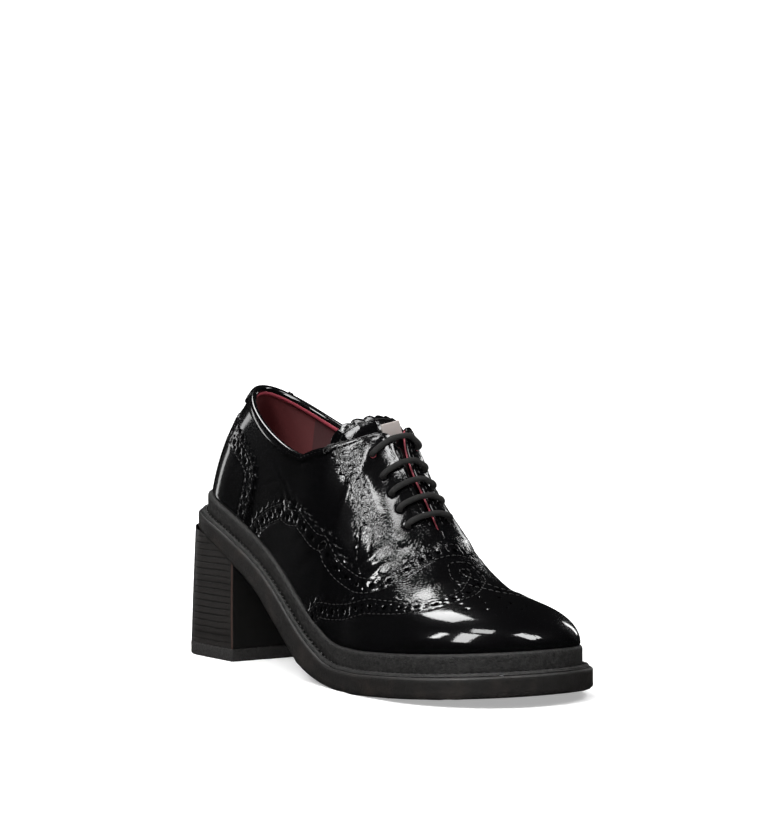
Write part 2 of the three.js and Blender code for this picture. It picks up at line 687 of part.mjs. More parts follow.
// The tongue follows the inside of the facings and bridges the slit between them.
// across: -1 at its lateral edge, 1 at its medial edge
function onTongue(share, across, depth) {
  const from = Math.max(share, FACING.from);
  const side = across < 0 ? -1 : 1;
  const lying = Math.max(Math.abs(across) - TONGUE_BRIDGE, 0) / (1 - TONGUE_BRIDGE);
  const point = onUpper(side, from, 1 - TONGUE_SPREAD * lying, depth);
  if (Math.abs(across) < TONGUE_BRIDGE) {
    const left = onUpper(-1, from, 1, depth);
    const right = onUpper(1, from, 1, depth);
    const t = (across / TONGUE_BRIDGE + 1) / 2;
    point.lerpVectors(left, right, t);
    const below = onUpper(-1, from, 1 - PROBE.slope, depth);
    const slope = (left.z - below.z) / (left.y - below.y);
    point.z += slope * (right.y - left.y) * t * (1 - t);
  }
  // Above the facings it runs straight on, and its corners are rounded off
  const beyond = (from - share) * (SOLE_LENGTH - 2 * UPPER_INSET);
  const kept = 1 - TONGUE_CORNERS.cut * across ** TONGUE_CORNERS.power;
  point.x -= beyond * kept;
  point.z += beyond * TONGUE_RISE * kept;
  return point;
}

function tongue() {
  const start = FACING.from - TONGUE_BEYOND / (SOLE_LENGTH - 2 * UPPER_INSET);
  const depth = UPPER_WALL + TONGUE_CLEARANCE;
  const [rows, columns] = OVERLAY_STEPS.tongue;
  const grid = (layer) => steps(rows).map((t) => (
    steps(columns).map((u) => onTongue(mix(start, FACING.to, t), 2 * u - 1, layer))
  ));
  return sheet(grid(depth), grid(depth + TONGUE_WALL));
}

// A plain metal plate that lies on the tongue above the facings
function tonguePlate() {
  const share = FACING.from - PLATE.length / SOLE_LENGTH / 2 - 2 * EDGE_CLEARANCE;
  const depth = UPPER_WALL + TONGUE_CLEARANCE;
  const centre = onTongue(share, 0, depth);
  const slope = Math.atan2(-TONGUE_RISE, 1);
  const geometry = new THREE.BoxGeometry(PLATE.length, PLATE.width, PLATE.thickness);
  geometry.translate(0, 0, PLATE.thickness / 2 + GAP);
  geometry.rotateY(-slope);
  return geometry.translate(centre.x, centre.y, centre.z);
}

// One bar of the lacing: up out of the lateral eyelet, over the slit and down the medial one
function laceBar(share) {
  const radius = LACE_DIAMETER / 2;
  const lying = radius + LACE_LIFT;
  const inside = OVERLAY + OVERLAY_GAP + UPPER_WALL / 2;
  const half = (side) => {
    const hole = eyelet(side, share);
    const place = (toEdge, out) => {
      const { centre, outwards } = leather(side, share, mix(eyeletUp(side, share), 1, toEdge));
      return centre.addScaledVector(outwards, out);
    };
    return [
      hole.centre.clone().addScaledVector(hole.outwards, -inside),
      hole.centre.clone().addScaledVector(hole.outwards, lying - LACE_SINK),
      place(LACE_BENDS.rising, lying + LACE_CROWN),
      place(LACE_BENDS.lying, lying),
      place(LACE_BENDS.edge, lying),
    ];
  };
  const points = [...half(-1), ...half(1).reverse()];
  const section = new THREE.Shape();
  for (let i = 0; i < LACE_FACETS.sides; i += 1) {
    const angle = (2 * Math.PI * i) / LACE_FACETS.sides;
    const place = [radius * Math.cos(angle), radius * Math.sin(angle)];
    if (i === 0) section.moveTo(...place);
    else section.lineTo(...place);
  }
  const path = new THREE.CatmullRomCurve3(points, false, 'centripetal');
  return new THREE.ExtrudeGeometry(section, { steps: LACE_FACETS.steps, extrudePath: path });
}

const finish = (color, roughness, metalness = 0) => new THREE.MeshStandardMaterial({ color, roughness, metalness });
const LEATHER = finish(0x0b0b0c, 0.18);
const RUBBER = finish(0x2b2a29, 0.8);
const STACKED = finish(0x1c1b1a, 0.6);
const COTTON = finish(0x1a1a1a, 0.9);
const LINING = finish(0x6a2327, 0.7);
const METAL = finish(0x8f8a84, 0.3, 1);

const shoe = new THREE.Group();
function add(name, geometry, material) {
  const mesh = new THREE.Mesh(geometry, material);
  mesh.name = name;
  shoe.add(mesh);
}

add('outsole', outsole(), RUBBER);
add('welt', welt(), RUBBER);
add('rand', rand(), RUBBER);
add('heel_block', heelBlock(), STACKED);
add('heel_lift', heelLift(), RUBBER);
add('insole', insole(), LINING);
add('upper', pierced(upper(), [-1, 1]), LEATHER);
add('toe_cap', toeCap(), LEATHER);
add('vamp_overlay', vampOverlay(), LEATHER);
add('eyestay_lateral', pierced(eyestay(-1), [-1]), LEATHER);
add('eyestay_medial', pierced(eyestay(1), [1]), LEATHER);
add('heel_counter', backOverlay(COUNTER_EDGE, OVERLAY_STEPS.counter, TIP_CROWDING), LEATHER);
add('heel_tab', backOverlay(TAB_EDGE, OVERLAY_STEPS.tab, 1 / MIDDLE_CROWDING), LEATHER);
add('tongue', tongue(), LEATHER);
add('tongue_plate', tonguePlate(), METAL);
EYELETS.forEach((share, i) => add(`lace_bar_${i + 1}`, laceBar(share), COTTON));

// The shoe stands on z = 0, with its box centred over the origin
const box = new THREE.Box3().setFromObject(shoe);
const middle = box.getCenter(new THREE.Vector3());
shoe.position.set(-middle.x, -middle.y, -box.min.z);

export default shoe;
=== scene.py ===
# %% [markdown]
# # A lace-up brogue on a block heel
# The frame holds the shoe's plain solids. This lesson dresses them: fine leather skins with
# pinked edges, punched holes and stitches, a lining, laces, rubber edges and a stacked heel.

# %% Load the frame
import math

import bpy
import numpy as np
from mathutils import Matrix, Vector
from mathutils.geometry import delaunay_2d_cdt
from mathutils.kdtree import KDTree


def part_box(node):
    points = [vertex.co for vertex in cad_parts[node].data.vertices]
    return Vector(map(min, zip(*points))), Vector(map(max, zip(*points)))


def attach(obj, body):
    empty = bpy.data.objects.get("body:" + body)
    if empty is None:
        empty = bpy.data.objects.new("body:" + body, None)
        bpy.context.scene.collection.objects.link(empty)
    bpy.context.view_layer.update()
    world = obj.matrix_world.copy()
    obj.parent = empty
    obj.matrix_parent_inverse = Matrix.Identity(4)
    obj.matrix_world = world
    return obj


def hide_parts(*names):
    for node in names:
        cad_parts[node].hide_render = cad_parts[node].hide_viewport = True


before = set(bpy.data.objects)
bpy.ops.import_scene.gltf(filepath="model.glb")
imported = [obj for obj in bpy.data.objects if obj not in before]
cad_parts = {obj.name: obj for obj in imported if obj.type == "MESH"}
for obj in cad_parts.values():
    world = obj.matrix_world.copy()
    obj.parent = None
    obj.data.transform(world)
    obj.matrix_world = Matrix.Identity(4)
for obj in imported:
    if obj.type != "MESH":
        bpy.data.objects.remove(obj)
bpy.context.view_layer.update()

# %% [markdown]
# The leather is stretched over a last, so its form is a rule rather than a list of points.
# The same sizes and tables that shaped the solids are repeated here as smooth curves, and
# every later piece is placed on that form, so that nothing floats or sinks.

# %% Sizes of the last and the sole, in millimetres
GAP = 0.3
SOLE_LENGTH = 252
LATERAL_BALL, MEDIAL_BALL, TOE_SWING = 48, 45, 3.5
SEAT_HEIGHT, BALL_HEIGHT, TOE_SPRING = 71, 10.3, 4.9
WELT_THICKNESS, WELT_WIDTH = 1.6, 13
LEDGE, RAND_THICKNESS, RAND_HEIGHT = 3.8, 2.4, 7.6
UPPER_WALL, COLLAR_HALF_WIDTH, COLLAR_BACK, COLLAR_LOW_AT = 2.2, 24.5, 29.5, 103
BACK_HEIGHT, INSTEP_HEIGHT = 61, 90
HEEL_ROUND, TOE_ROUND, TOE_DOME, COLLAR_SWEEP = (0.135, 2.2), (0.22, 2.3), (0.20, 2.2), 1.38
UPPER_INSET = LEDGE + RAND_THICKNESS + GAP
FEATHER = GAP + RAND_HEIGHT + GAP


def table(columns, *rows):
    """Names the columns of a table of shares."""
    return dict(zip(columns.split(), np.array(rows, float).T))


PLAN = table("at lateral medial", (0, .655, .68), (.14, .67, .685), (.25, .705, .675), (.34, .755, .665),
             (.44, .83, .705), (.53, .895, .8), (.62, .94, .91), (.72, 1, 1), (.82, 1, .975), (1, .95, .89))
PROFILE = table("at rise thickness", (0, 1, .97), (.06, .97, .97), (.23, .75, 1.12), (.32, .605, 1.25),
                (.4, .44, 1.46), (.49, .22, 1.47), (.55, .098, 1.26), (.6, .02, 1.04), (.64, 0, 1), (1, 0, 1))
TOP_EDGE = table(
    "at half middle height trim power lean",
    (.409, 1, 0, .678, 45, 2, .4), (.446, .98, .02, .77, 50, 2, .32), (.484, .88, .05, .857, 57, 1.95, .22),
    (.508, .66, .09, .922, 64, 1.9, .14), (.532, .32, .13, .985, 76, 1.8, .06), (.544, .18, .15, .997, 81, 1.75, 0),
    (.56, .14, .15, .957, 83, 1.7, 0), (.587, .1, .15, .888, 84, 1.65, 0), (.642, .08, .13, .742, 86, 1.6, 0),
    (.663, .06, .12, .662, 88, 1.6, 0), (.68, 0, .11, .6, 90, 1.6, 0), (.714, 0, .08, .502, 90, 1.65, 0),
    (.766, 0, .04, .384, 90, 1.85, 0), (.829, 0, 0, .318, 90, 2.05, 0), (.893, 0, 0, .29, 90, 2.2, 0),
    (1, 0, 0, .255, 90, 2.2, 0))
print("tables:", len(PLAN["at"]), len(PROFILE["at"]), len(TOP_EDGE["at"]), "rows")


# %% Curves through the tables
def along(rows, name, at):
    """One column of a table at any place, smooth and never overshooting its rows."""
    x, y = rows["at"], rows[name]
    step = np.diff(y) / np.diff(x)
    slope = np.concatenate([step[:1], np.zeros(len(x) - 2), step[-1:]])
    product, total = step[:-1] * step[1:], step[:-1] + step[1:]
    slope[1:-1] = np.where(product > 0, 2 * product / np.where(product > 0, total, 1), 0)
    place = np.clip(at, x[0], x[-1])
    row = np.clip(np.searchsorted(x, place, side="left") - 1, 0, len(x) - 2)
    width = x[row + 1] - x[row]
    t = (place - x[row]) / width
    start = y[row] * (1 + 2 * t) + slope[row] * width * t
    end = y[row + 1] * (3 - 2 * t) - slope[row + 1] * width * (1 - t)
    return start * (1 - t) ** 2 + end * t ** 2


def mix(a, b, share):
    return a + (b - a) * share


def closing(share, power):
    """Quarter of a superellipse: 1 at share 0, falling to 0 at share 1."""
    return (1 - np.clip(share, 0, 1) ** power) ** (1 / power)


def swing(x):
    return TOE_SWING * np.clip((x / SOLE_LENGTH - .45) / .55, 0, 1) ** 2


def welt_top(x):
    at = x / SOLE_LENGTH
    spring = TOE_SPRING * np.clip((at - .7) / .3, 0, 1) ** 1.2
    return BALL_HEIGHT + (SEAT_HEIGHT - BALL_HEIGHT) * along(PROFILE, "rise", at) + spring


def sole_bottom(x):
    return welt_top(x) - BALL_HEIGHT * along(PROFILE, "thickness", x / SOLE_LENGTH)


def outline(side, share, inset):
    """x and y of the sole's outline, drawn in by inset. side is -1 lateral, 1 medial."""
    lateral, medial = LATERAL_BALL * along(PLAN, "lateral", share), MEDIAL_BALL * along(PLAN, "medial", share)
    full = np.where(side < 0, lateral, medial)
    heel = closing((HEEL_ROUND[0] - share) / HEEL_ROUND[0], HEEL_ROUND[1])
    toe = closing((share - 1 + TOE_ROUND[0]) / TOE_ROUND[0], TOE_ROUND[1])
    x = mix(inset, SOLE_LENGTH - inset, share)
    return x, side * (full - inset) * heel * toe + swing(x)


def on_upper(side, share, s, depth):
    """Points of the upper: s 0 at the feather line, 1 at the top edge, -1 at the wall's foot."""
    side, share, s, depth = np.broadcast_arrays(*(np.asarray(v, float) for v in (side, share, s, depth)))
    nominal = mix(UPPER_INSET, SOLE_LENGTH - UPPER_INSET, share)
    front = np.maximum(nominal, COLLAR_LOW_AT) / SOLE_LENGTH
    inset = UPPER_INSET + depth
    foot_x, foot_y = outline(side, share, inset)
    trim = np.radians(along(TOP_EDGE, "trim", front))
    inwards = depth * np.cos(trim)
    half = np.maximum(COLLAR_HALF_WIDTH * along(TOP_EDGE, "half", front) - inwards, 0)
    half = np.where(along(TOP_EDGE, "half", front) <= 0, 0, half)
    foot_z = welt_top(foot_x) + FEATHER
    rear = np.clip((nominal - UPPER_INSET) / (COLLAR_LOW_AT - UPPER_INSET), 0, 1)
    low = welt_top(COLLAR_LOW_AT) + INSTEP_HEIGHT * TOP_EDGE["height"][0]
    back = welt_top(COLLAR_BACK) + BACK_HEIGHT
    end = mix(inset, SOLE_LENGTH - inset, (COLLAR_LOW_AT - UPPER_INSET) / (SOLE_LENGTH - 2 * UPPER_INSET))
    behind = nominal < COLLAR_LOW_AT
    height = INSTEP_HEIGHT * along(TOP_EDGE, "height", front) - FEATHER - depth * np.sin(trim)
    dome = closing((share - 1 + TOE_DOME[0]) / TOE_DOME[0], TOE_DOME[1])
    top_x = np.where(behind, mix(COLLAR_BACK + inwards, end, rear), foot_x)
    top_y = side * half * np.where(behind, np.sqrt(np.clip(1 - (1 - rear) ** 2, 0, 1)), 1)
    collar_z = mix(low, back, (1 - rear) ** COLLAR_SWEEP) - depth * np.sin(trim)
    top_z = np.where(behind, collar_z, foot_z + height * dome)
    top_y = top_y + swing(top_x) + COLLAR_HALF_WIDTH * along(TOP_EDGE, "middle", front)
    bend = 2 / along(TOP_EDGE, "power", front)
    high = np.clip(s, 0, None)
    rise = lambda angle: np.sin(angle) ** bend
    fall = lambda angle: 1 - np.maximum(np.cos(angle), 0) ** bend
    up = rise(high * trim) / rise(trim)
    into = mix(fall(high * trim) / fall(trim), up, along(TOP_EDGE, "lean", front))
    z = mix(foot_z, top_z, up) + np.clip(s, -1, 0) * (FEATHER - GAP)
    return np.stack([mix(foot_x, top_x, into), mix(foot_y, top_y, into), z], -1)


# %% Fit the form to the frame
low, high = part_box("outsole")
edge_y = np.concatenate([outline(side, np.linspace(0, 1, 2000), 0)[1] for side in (-1, 1)])
SHIFT = np.array([(low.x + high.x) * 500 - SOLE_LENGTH / 2, low.y * 1000 - edge_y.min(), 0])
print("shift to the frame, mm:", SHIFT.round(3), "width check", round(high.y * 1000 - SHIFT[1] - edge_y.max(), 3))
cad_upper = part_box("upper")
test = on_upper(np.array([[-1], [1]]), np.linspace(0, 1, 400)[None], 1, 0) + SHIFT
print("upper's top", test[..., 2].max().round(2), "CAD", round(cad_upper[1].z * 1000, 2))

# %% [markdown]
# Leather that has been walked in folds where the foot bends. Each crease is placed
# as a soft trough with a ridge beside it: where it is, which way it runs, and how deep.

# %% Creases in the leather
# Place (share along the shoe, place across from -1 lateral to 1 medial), direction in
# degrees from lengthwise, length and width in millimetres, depth in millimetres
CREASES = table(
    "share across turn length width depth",
    (.655, -.52, 62, 26, 3.4, .75), (.672, -.40, 70, 22, 3.0, .60), (.640, -.60, 50, 24, 3.2, .60),
    (.690, -.46, 58, 20, 2.6, .45), (.700, -.30, 82, 20, 2.8, .50), (.715, -.12, 96, 22, 3.0, .50),
    (.700, .30, 98, 24, 3.0, .60), (.672, .42, 112, 24, 3.2, .65), (.640, .58, 128, 24, 3.2, .55),
    (.725, .10, 84, 24, 2.6, .40), (.560, -.66, 20, 30, 4.0, .50), (.505, -.72, 30, 28, 4.0, .45),
    (.470, -.60, 42, 26, 3.6, .40), (.430, -.50, 140, 26, 3.4, .55), (.395, -.44, 148, 24, 3.4, .50),
    (.370, -.52, 132, 18, 3.0, .40), (.330, -.30, 150, 20, 3.2, .35), (.300, -.42, 36, 18, 3.0, .30),
    (.430, .50, 40, 26, 3.4, .50), (.395, .42, 34, 24, 3.4, .45), (.350, .36, 150, 22, 3.2, .40),
    (.520, .60, 150, 28, 3.8, .45), (.575, .70, 158, 26, 3.6, .45), (.600, -.42, 66, 20, 2.8, .35),
    (.600, .46, 112, 22, 2.8, .35), (.160, -.50, 60, 18, 3.0, .22), (.140, .48, 120, 18, 3.0, .22))
LENGTH_MM, ACROSS_MM = SOLE_LENGTH - 2 * UPPER_INSET, 74


def creases(share, across):
    """How far the leather stands out of its plain form, in millimetres."""
    total = np.zeros(np.broadcast(share, across).shape)
    for share_at, across_at, turn, length, width, depth in zip(*(CREASES[k] for k in CREASES)):
        angle = math.radians(turn)
        dx, dy = (share - share_at) * LENGTH_MM, (across - across_at) * ACROSS_MM
        lengthwise = dx * math.cos(angle) + dy * math.sin(angle)
        sideways = -dx * math.sin(angle) + dy * math.cos(angle) + .012 * lengthwise ** 2
        fade = np.exp(-(lengthwise / (length * .42)) ** 2)
        trough = -np.exp(-(sideways / (width * .42)) ** 2)
        ridge = .62 * np.exp(-((sideways - width * .85) / (width * .5)) ** 2)
        ridge += .4 * np.exp(-((sideways + width * .95) / (width * .6)) ** 2)
        total += .5 * depth * fade * (trough + ridge)
    return total


def standing(share, across):
    """The lacing pulls the facings down flat, and their top corners stay up."""
    near = np.clip((share - .538) / .024, 0, 1) * np.clip((.70 - share) / .05, 0, 1)
    near = near * near * (3 - 2 * near)
    pulled = np.where(across < 0, -2.8 * np.exp(-(across / .22) ** 2), -2.3 * np.exp(-(across / .17) ** 2))
    corner = np.where(across < 0, 0, 2.4 * np.exp(-((share - .535) / .016) ** 2 - (across / .2) ** 2))
    return near * pulled + corner


def place(share, across, lift=0.0):
    """A point on the creased leather. across: -1 lateral foot, 0 middle or top edge, 1 medial foot."""
    share, across = np.broadcast_arrays(np.asarray(share, float), np.asarray(across, float))
    # Round the heel the outline runs on into negative shares, which are the other side
    across = np.where(share < 0, -across, across)
    share = np.abs(share)
    side = np.where(across < 0, -1.0, 1.0)
    out = lift + creases(share, across) + standing(share, across)
    return on_upper(side, share, 1 - np.abs(across), -out) + SHIFT


def directions(share, across, lift=0.0):
    """Lengthwise and crosswise changes of place, and the direction out of the leather."""
    d_share, d_across = 2e-4, 6e-4
    side = np.where(np.asarray(across) < 0, -1.0, 1.0)
    near = np.where(np.abs(across) < d_across, np.asarray(across) + side * d_across, across)
    forward = (place(share + d_share, near, lift) - place(share - d_share, near, lift)) / (2 * d_share)
    cross = (place(share, near + d_across, lift) - place(share, near - d_across, lift)) / (2 * d_across)
    out = np.cross(forward, cross)
    return forward, cross, out / np.maximum(np.linalg.norm(out, axis=-1, keepdims=True), 1e-9)


out = directions(np.array([.5, .8]), np.array([-.5, .5]))[2]
print("outward directions, lateral and medial:", out.round(2).tolist())

# %% [markdown]
# Shoe leather is cut flat from a paper pattern. The same is done here: an outline, with its
# pinked teeth and punched holes, is filled with triangles in the flat and then laid on the
# last. A plain grid could not follow the teeth, and cutting holes in a mesh afterwards
# would spoil its shading.

# %% Flat pattern: distance round the shoe against height
fine = 1 - np.cos(np.linspace(0, math.pi, 4001))
fine = fine / 2
walk = np.concatenate([[0], np.cumsum(np.linalg.norm(np.diff(place(fine, -.62), axis=0), axis=1))])
print("length of the wall, mm:", walk[-1].round(1))


def to_flat(points):
    run = np.sign(points[:, 0]) * np.interp(np.abs(points[:, 0]), fine, walk)
    return np.stack([run, points[:, 1] * ACROSS_MM], -1)


def from_flat(points):
    share = np.sign(points[:, 0]) * np.interp(np.abs(points[:, 0]), walk, fine)
    return np.stack([share, points[:, 1] / ACROSS_MM], -1)


def even(curve, spacing, whole=1):
    """The curve's points again, evenly spaced on the leather; the number of steps is a multiple of whole."""
    curve = np.asarray(curve, float)
    spans = np.linalg.norm(np.diff(place(curve[:, 0], curve[:, 1]), axis=0), axis=1)
    run = np.concatenate([[0], np.cumsum(spans)])
    steps = max(whole, int(round(run[-1] / spacing / whole)) * whole)
    at = np.linspace(0, run[-1], steps + 1)
    return np.stack([np.interp(at, run, curve[:, k]) for k in (0, 1)], -1)


def stepped(points, move):
    """points moved over the leather by the given vectors in millimetres."""
    forward, cross, _ = directions(points[:, 0], points[:, 1])
    ff, cc, fc = (np.sum(a * b, -1) for a, b in ((forward, forward), (cross, cross), (forward, cross)))
    fm, cm = np.sum(forward * move, -1), np.sum(cross * move, -1)
    det = np.maximum(ff * cc - fc * fc, 1e-9)
    return points + np.stack([(fm * cc - cm * fc) / det, (cm * ff - fm * fc) / det], -1)


def beside(curve, distance):
    """The curve shifted to its left by distance, which may differ from point to point."""
    points = np.array(curve, float)
    distance = np.broadcast_to(distance, len(points))
    for _ in range(4):
        spots = place(points[:, 0], points[:, 1])
        tangent = np.gradient(spots, axis=0)
        out = directions(points[:, 0], points[:, 1])[2]
        left = np.cross(out, tangent)
        left /= np.maximum(np.linalg.norm(left, axis=1, keepdims=True), 1e-9)
        points = stepped(points, left * (distance / 4)[:, None])
    return points


def pinked(curve, tooth, depth):
    """An edge cut with teeth: pointed horns and round valleys, on the curve's left."""
    points = even(curve, tooth / 8, 8)
    wave = np.abs(np.sin(np.pi * np.arange(len(points)) / 8))
    out = directions(points[:, 0], points[:, 1])[2]
    left = np.cross(out, np.gradient(place(points[:, 0], points[:, 1]), axis=0))
    left /= np.linalg.norm(left, axis=1, keepdims=True)
    return stepped(points, left * (wave * depth)[:, None])


def inside(points, loop):
    """Which points lie inside a closed loop."""
    result = np.zeros(len(points), bool)
    x, y = points[:, 0], points[:, 1]
    for (x0, y0), (x1, y1) in zip(loop, np.roll(loop, -1, 0)):
        if y0 != y1:
            result ^= ((y0 > y) != (y1 > y)) & (x < (x1 - x0) * (y - y0) / (y1 - y0) + x0)
    return result


# %% A lattice of points over the whole leather, about a millimetre apart
def lattice(spacing):
    columns = np.interp(np.arange(spacing / 2, walk[-1], spacing), walk, fine)
    across = np.linspace(-1.03, 1.03, 161)
    points = []
    for i, share in enumerate(columns):
        run = np.linalg.norm(np.diff(place(share, across), axis=0), axis=1)
        run[79:81] = np.minimum(run[79:81], 2)
        run = np.concatenate([[0], np.cumsum(run)])
        at = np.arange(spacing * (.25 + .5 * (i % 2)), run[-1], spacing)
        points.append(np.stack([np.full(len(at), share), np.interp(at, run, across)], -1))
    return np.concatenate(points)


LATTICE = lattice(1.15)
heel_part = LATTICE[(LATTICE[:, 0] < .35) & (LATTICE[:, 1] > 0)]
LATTICE = np.concatenate([LATTICE, -heel_part])
print("lattice points:", len(LATTICE))


# %% Meshes and materials by hand
def new_mesh(name, points, faces, material):
    """A smoothly shaded piece from points in millimetres."""
    mesh = bpy.data.meshes.new(name)
    mesh.from_pydata((np.asarray(points) / 1000).tolist(), [], faces)
    mesh.validate()
    mesh.polygons.foreach_set("use_smooth", [True] * len(mesh.polygons))
    mesh.materials.append(material)
    piece = bpy.data.objects.new(name, mesh)
    bpy.context.scene.collection.objects.link(piece)
    return piece


def circle_on_leather(share, across, radius, corners=10):
    """A small round loop on the leather."""
    forward, _, out = directions(np.array([share]), np.array([across]))
    first = forward[0] / np.linalg.norm(forward[0])
    second = np.cross(out[0], first)
    turn = np.arange(corners) * 2 * np.pi / corners
    move = radius * (np.cos(turn)[:, None] * first + np.sin(turn)[:, None] * second)
    return stepped(np.tile([[share, across]], (corners, 1)), move)


def distance_from(points):
    """A function that tells how far places on the leather are from the nearest of the points."""
    spots = place(points[:, 0], points[:, 1])
    tree = KDTree(len(spots))
    for i, spot in enumerate(spots):
        tree.insert(spot, i)
    tree.balance()
    return lambda places: np.array([tree.find(spot)[2] for spot in place(places[:, 0], places[:, 1])])


# Triangles keep this far from a cut edge and from a seam, in millimetres
EDGE_ROOM, SEAM_ROOM = .5, .55
# How deep and how wide the leather is drawn down at its edges and its seams
EDGE_DROP, EDGE_REACH, SEAM_DROP, SEAM_REACH = .26, .5, .24, .62


def cut_leather(name, loop, material, high, low=0.0, holes=(), rows=()):
    """Cuts one piece of leather with its holes, pulls it down along its seams and lays it on the last."""
    loop = np.asarray(loop, float)
    spots = place(loop[:, 0], loop[:, 1])
    loop = loop[np.linalg.norm(np.roll(spots, -1, 0) - spots, axis=1) > .05]
    rings = [circle_on_leather(*hole) for hole in holes]
    cuts = np.concatenate([loop] + rings)
    to_cut = distance_from(cuts)
    pool = LATTICE[inside(LATTICE, loop)]
    keep = to_cut(pool) > EDGE_ROOM
    for share, across, radius in holes:
        close = np.abs(pool - [share, across]).max(1) < .03
        reach = np.linalg.norm(place(pool[close, 0], pool[close, 1]) - place(share, across), axis=1)
        keep[np.flatnonzero(close)] &= reach > radius + .35
    pool = pool[keep]
    if len(rows):
        lines = [even(row, 1.1) for row in rows]
        lines += [beside(line, gap) for line in list(lines) for gap in (-.8, .8)]
        beads = np.concatenate(lines)
        beads = beads[inside(beads, loop)]
        beads = beads[to_cut(beads) > EDGE_ROOM]
        pool = np.concatenate([pool[distance_from(beads)(pool) > SEAM_ROOM], beads])
    flat = to_flat(np.concatenate([cuts, pool]))
    edges, start = [], 0
    for ring in [loop] + rings:
        edges += [(start + i, start + (i + 1) % len(ring)) for i in range(len(ring))]
        start += len(ring)
    verts, _, faces, *_ = delaunay_2d_cdt([Vector(p) for p in flat], edges, [], 1, 1e-6)
    spread = from_flat(np.array([tuple(v) for v in verts]))
    centres = np.array([spread[list(f)].mean(0) for f in faces])
    solid = np.ones(len(faces), bool)
    for share, across, radius in holes:
        close = np.flatnonzero(np.abs(centres - [share, across]).max(1) < .03)
        reach = np.linalg.norm(place(centres[close, 0], centres[close, 1]) - place(share, across), axis=1)
        solid[close[reach < radius * .93]] = False
    faces = [tuple(f) for f, good in zip(faces, solid) if good]
    count = {}
    for face in faces:
        for a, b in zip(face, face[1:] + face[:1]):
            count[(a, b)] = count.get((a, b), 0) + 1
    rim = [(a, b) for a, b in count if (b, a) not in count]
    lift = high - EDGE_DROP * np.exp(-(to_cut(spread) / EDGE_REACH) ** 2)
    if len(rows):
        to_seam = distance_from(np.concatenate([even(row, .5) for row in rows]))
        lift -= SEAM_DROP * np.exp(-(to_seam(spread) / SEAM_REACH) ** 2)
    top = place(spread[:, 0], spread[:, 1], lift)
    corners = sorted({v for edge in rim for v in edge})
    index = {v: len(top) + 2 * i for i, v in enumerate(corners)}
    under = place(spread[corners, 0], spread[corners, 1], low)
    walls = np.stack([top[corners], under], 1).reshape(-1, 3)
    faces += [(index[a], index[a] + 1, index[b] + 1, index[b]) for a, b in rim]
    piece = new_mesh(name, np.concatenate([top, walls]), faces, material)
    shares = np.concatenate([spread, np.repeat(spread[corners], 2, 0)])
    write_flex(piece, shares)
    print(name, len(piece.data.vertices), "vertices,", len(holes), "holes")
    return piece


# The line along which the leather folds most: share along the shoe, place across
FOLD = table("share across", (.49, 0), (.513, .17), (.551, .36), (.60, .41), (.66, .40), (.70, .45), (.76, .47),
             (.86, .53))


def write_flex(piece, shares):
    """Stores how much the leather is worked at each point: 0 on stiffened parts, 1 where it folds."""
    share, across = np.abs(shares[:, 0]), np.abs(shares[:, 1])
    side = np.exp(-((share - .36) / .09) ** 2) * .08 + .02
    laced = np.clip((share - .478) / .02, 0, 1) * np.clip((.84 - share) / .08, 0, 1)
    ridge = np.interp(share, FOLD["share"], FOLD["across"])
    folded = np.exp(-((across - ridge) / .075) ** 2)
    upper_part = np.clip((ridge - across) / .05, 0, 1)
    forepart = mix(.16, .42, np.clip((share - .63) / .06, 0, 1))
    worked = np.maximum(side, laced * np.maximum(folded, upper_part * forepart))
    layer = piece.data.attributes.new("flex", "FLOAT", "POINT")
    layer.data.foreach_set("value", worked.astype(np.float32))


print("fold line:", len(FOLD["share"]), "places")

# %% [markdown]
# Every finish is made of a few effects: grain that catches the light, and on the leather
# wrinkles too fine to model. Each effect is one node group, placed in a material with its
# own values, so that the pieces of the shoe look made and worn together.

# %% Helpers for shader nodes
def socket(tree, name, kind, default=None, output=False):
    item = tree.interface.new_socket(name=name, in_out="OUTPUT" if output else "INPUT", socket_type=kind)
    if default is not None:
        item.default_value = default
    return item


def join(tree, source, target):
    tree.links.new(source, target)
    return source


def node(tree, kind, label="", **values):
    """Adds a node; values name its settings or its inputs."""
    made = tree.nodes.new(kind)
    made.label = label
    for key, value in values.items():
        name = key.replace("_", " ").title()
        if hasattr(made, key) and key not in ("scale",):
            setattr(made, key, value)
        elif name in made.inputs:
            made.inputs[name].default_value = value
        else:
            raise KeyError(key)
    return made


def math_node(tree, operation, a, b=None):
    made = tree.nodes.new("ShaderNodeMath")
    made.operation = operation
    for i, value in enumerate((a, b)):
        if value is None:
            continue
        if isinstance(value, (int, float)):
            made.inputs[i].default_value = value
        else:
            tree.links.new(value, made.inputs[i])
    return made.outputs[0]


# %% Fine wrinkles of flexed leather
wrinkles = bpy.data.node_groups.new("Flexed leather wrinkles", "ShaderNodeTree")
socket(wrinkles, "Place", "NodeSocketVector")
socket(wrinkles, "Flex", "NodeSocketFloat", 1.0)
socket(wrinkles, "Size", "NodeSocketFloat", 760.0)
socket(wrinkles, "Height", "NodeSocketFloat", output=True)
socket(wrinkles, "Shine breaks", "NodeSocketFloat", output=True)
way_in, way_out = wrinkles.nodes.new("NodeGroupInput"), wrinkles.nodes.new("NodeGroupOutput")
warp = node(wrinkles, "ShaderNodeTexNoise", "bends the wrinkles", detail=2.0)
warp.inputs["Scale"].default_value = 60
join(wrinkles, way_in.outputs["Place"], warp.inputs["Vector"])
pushed = node(wrinkles, "ShaderNodeVectorMath", operation="MULTIPLY_ADD")
pushed.inputs[1].default_value = (.007, .007, .007)
join(wrinkles, warp.outputs["Color"], pushed.inputs[0])
join(wrinkles, way_in.outputs["Place"], pushed.inputs[2])
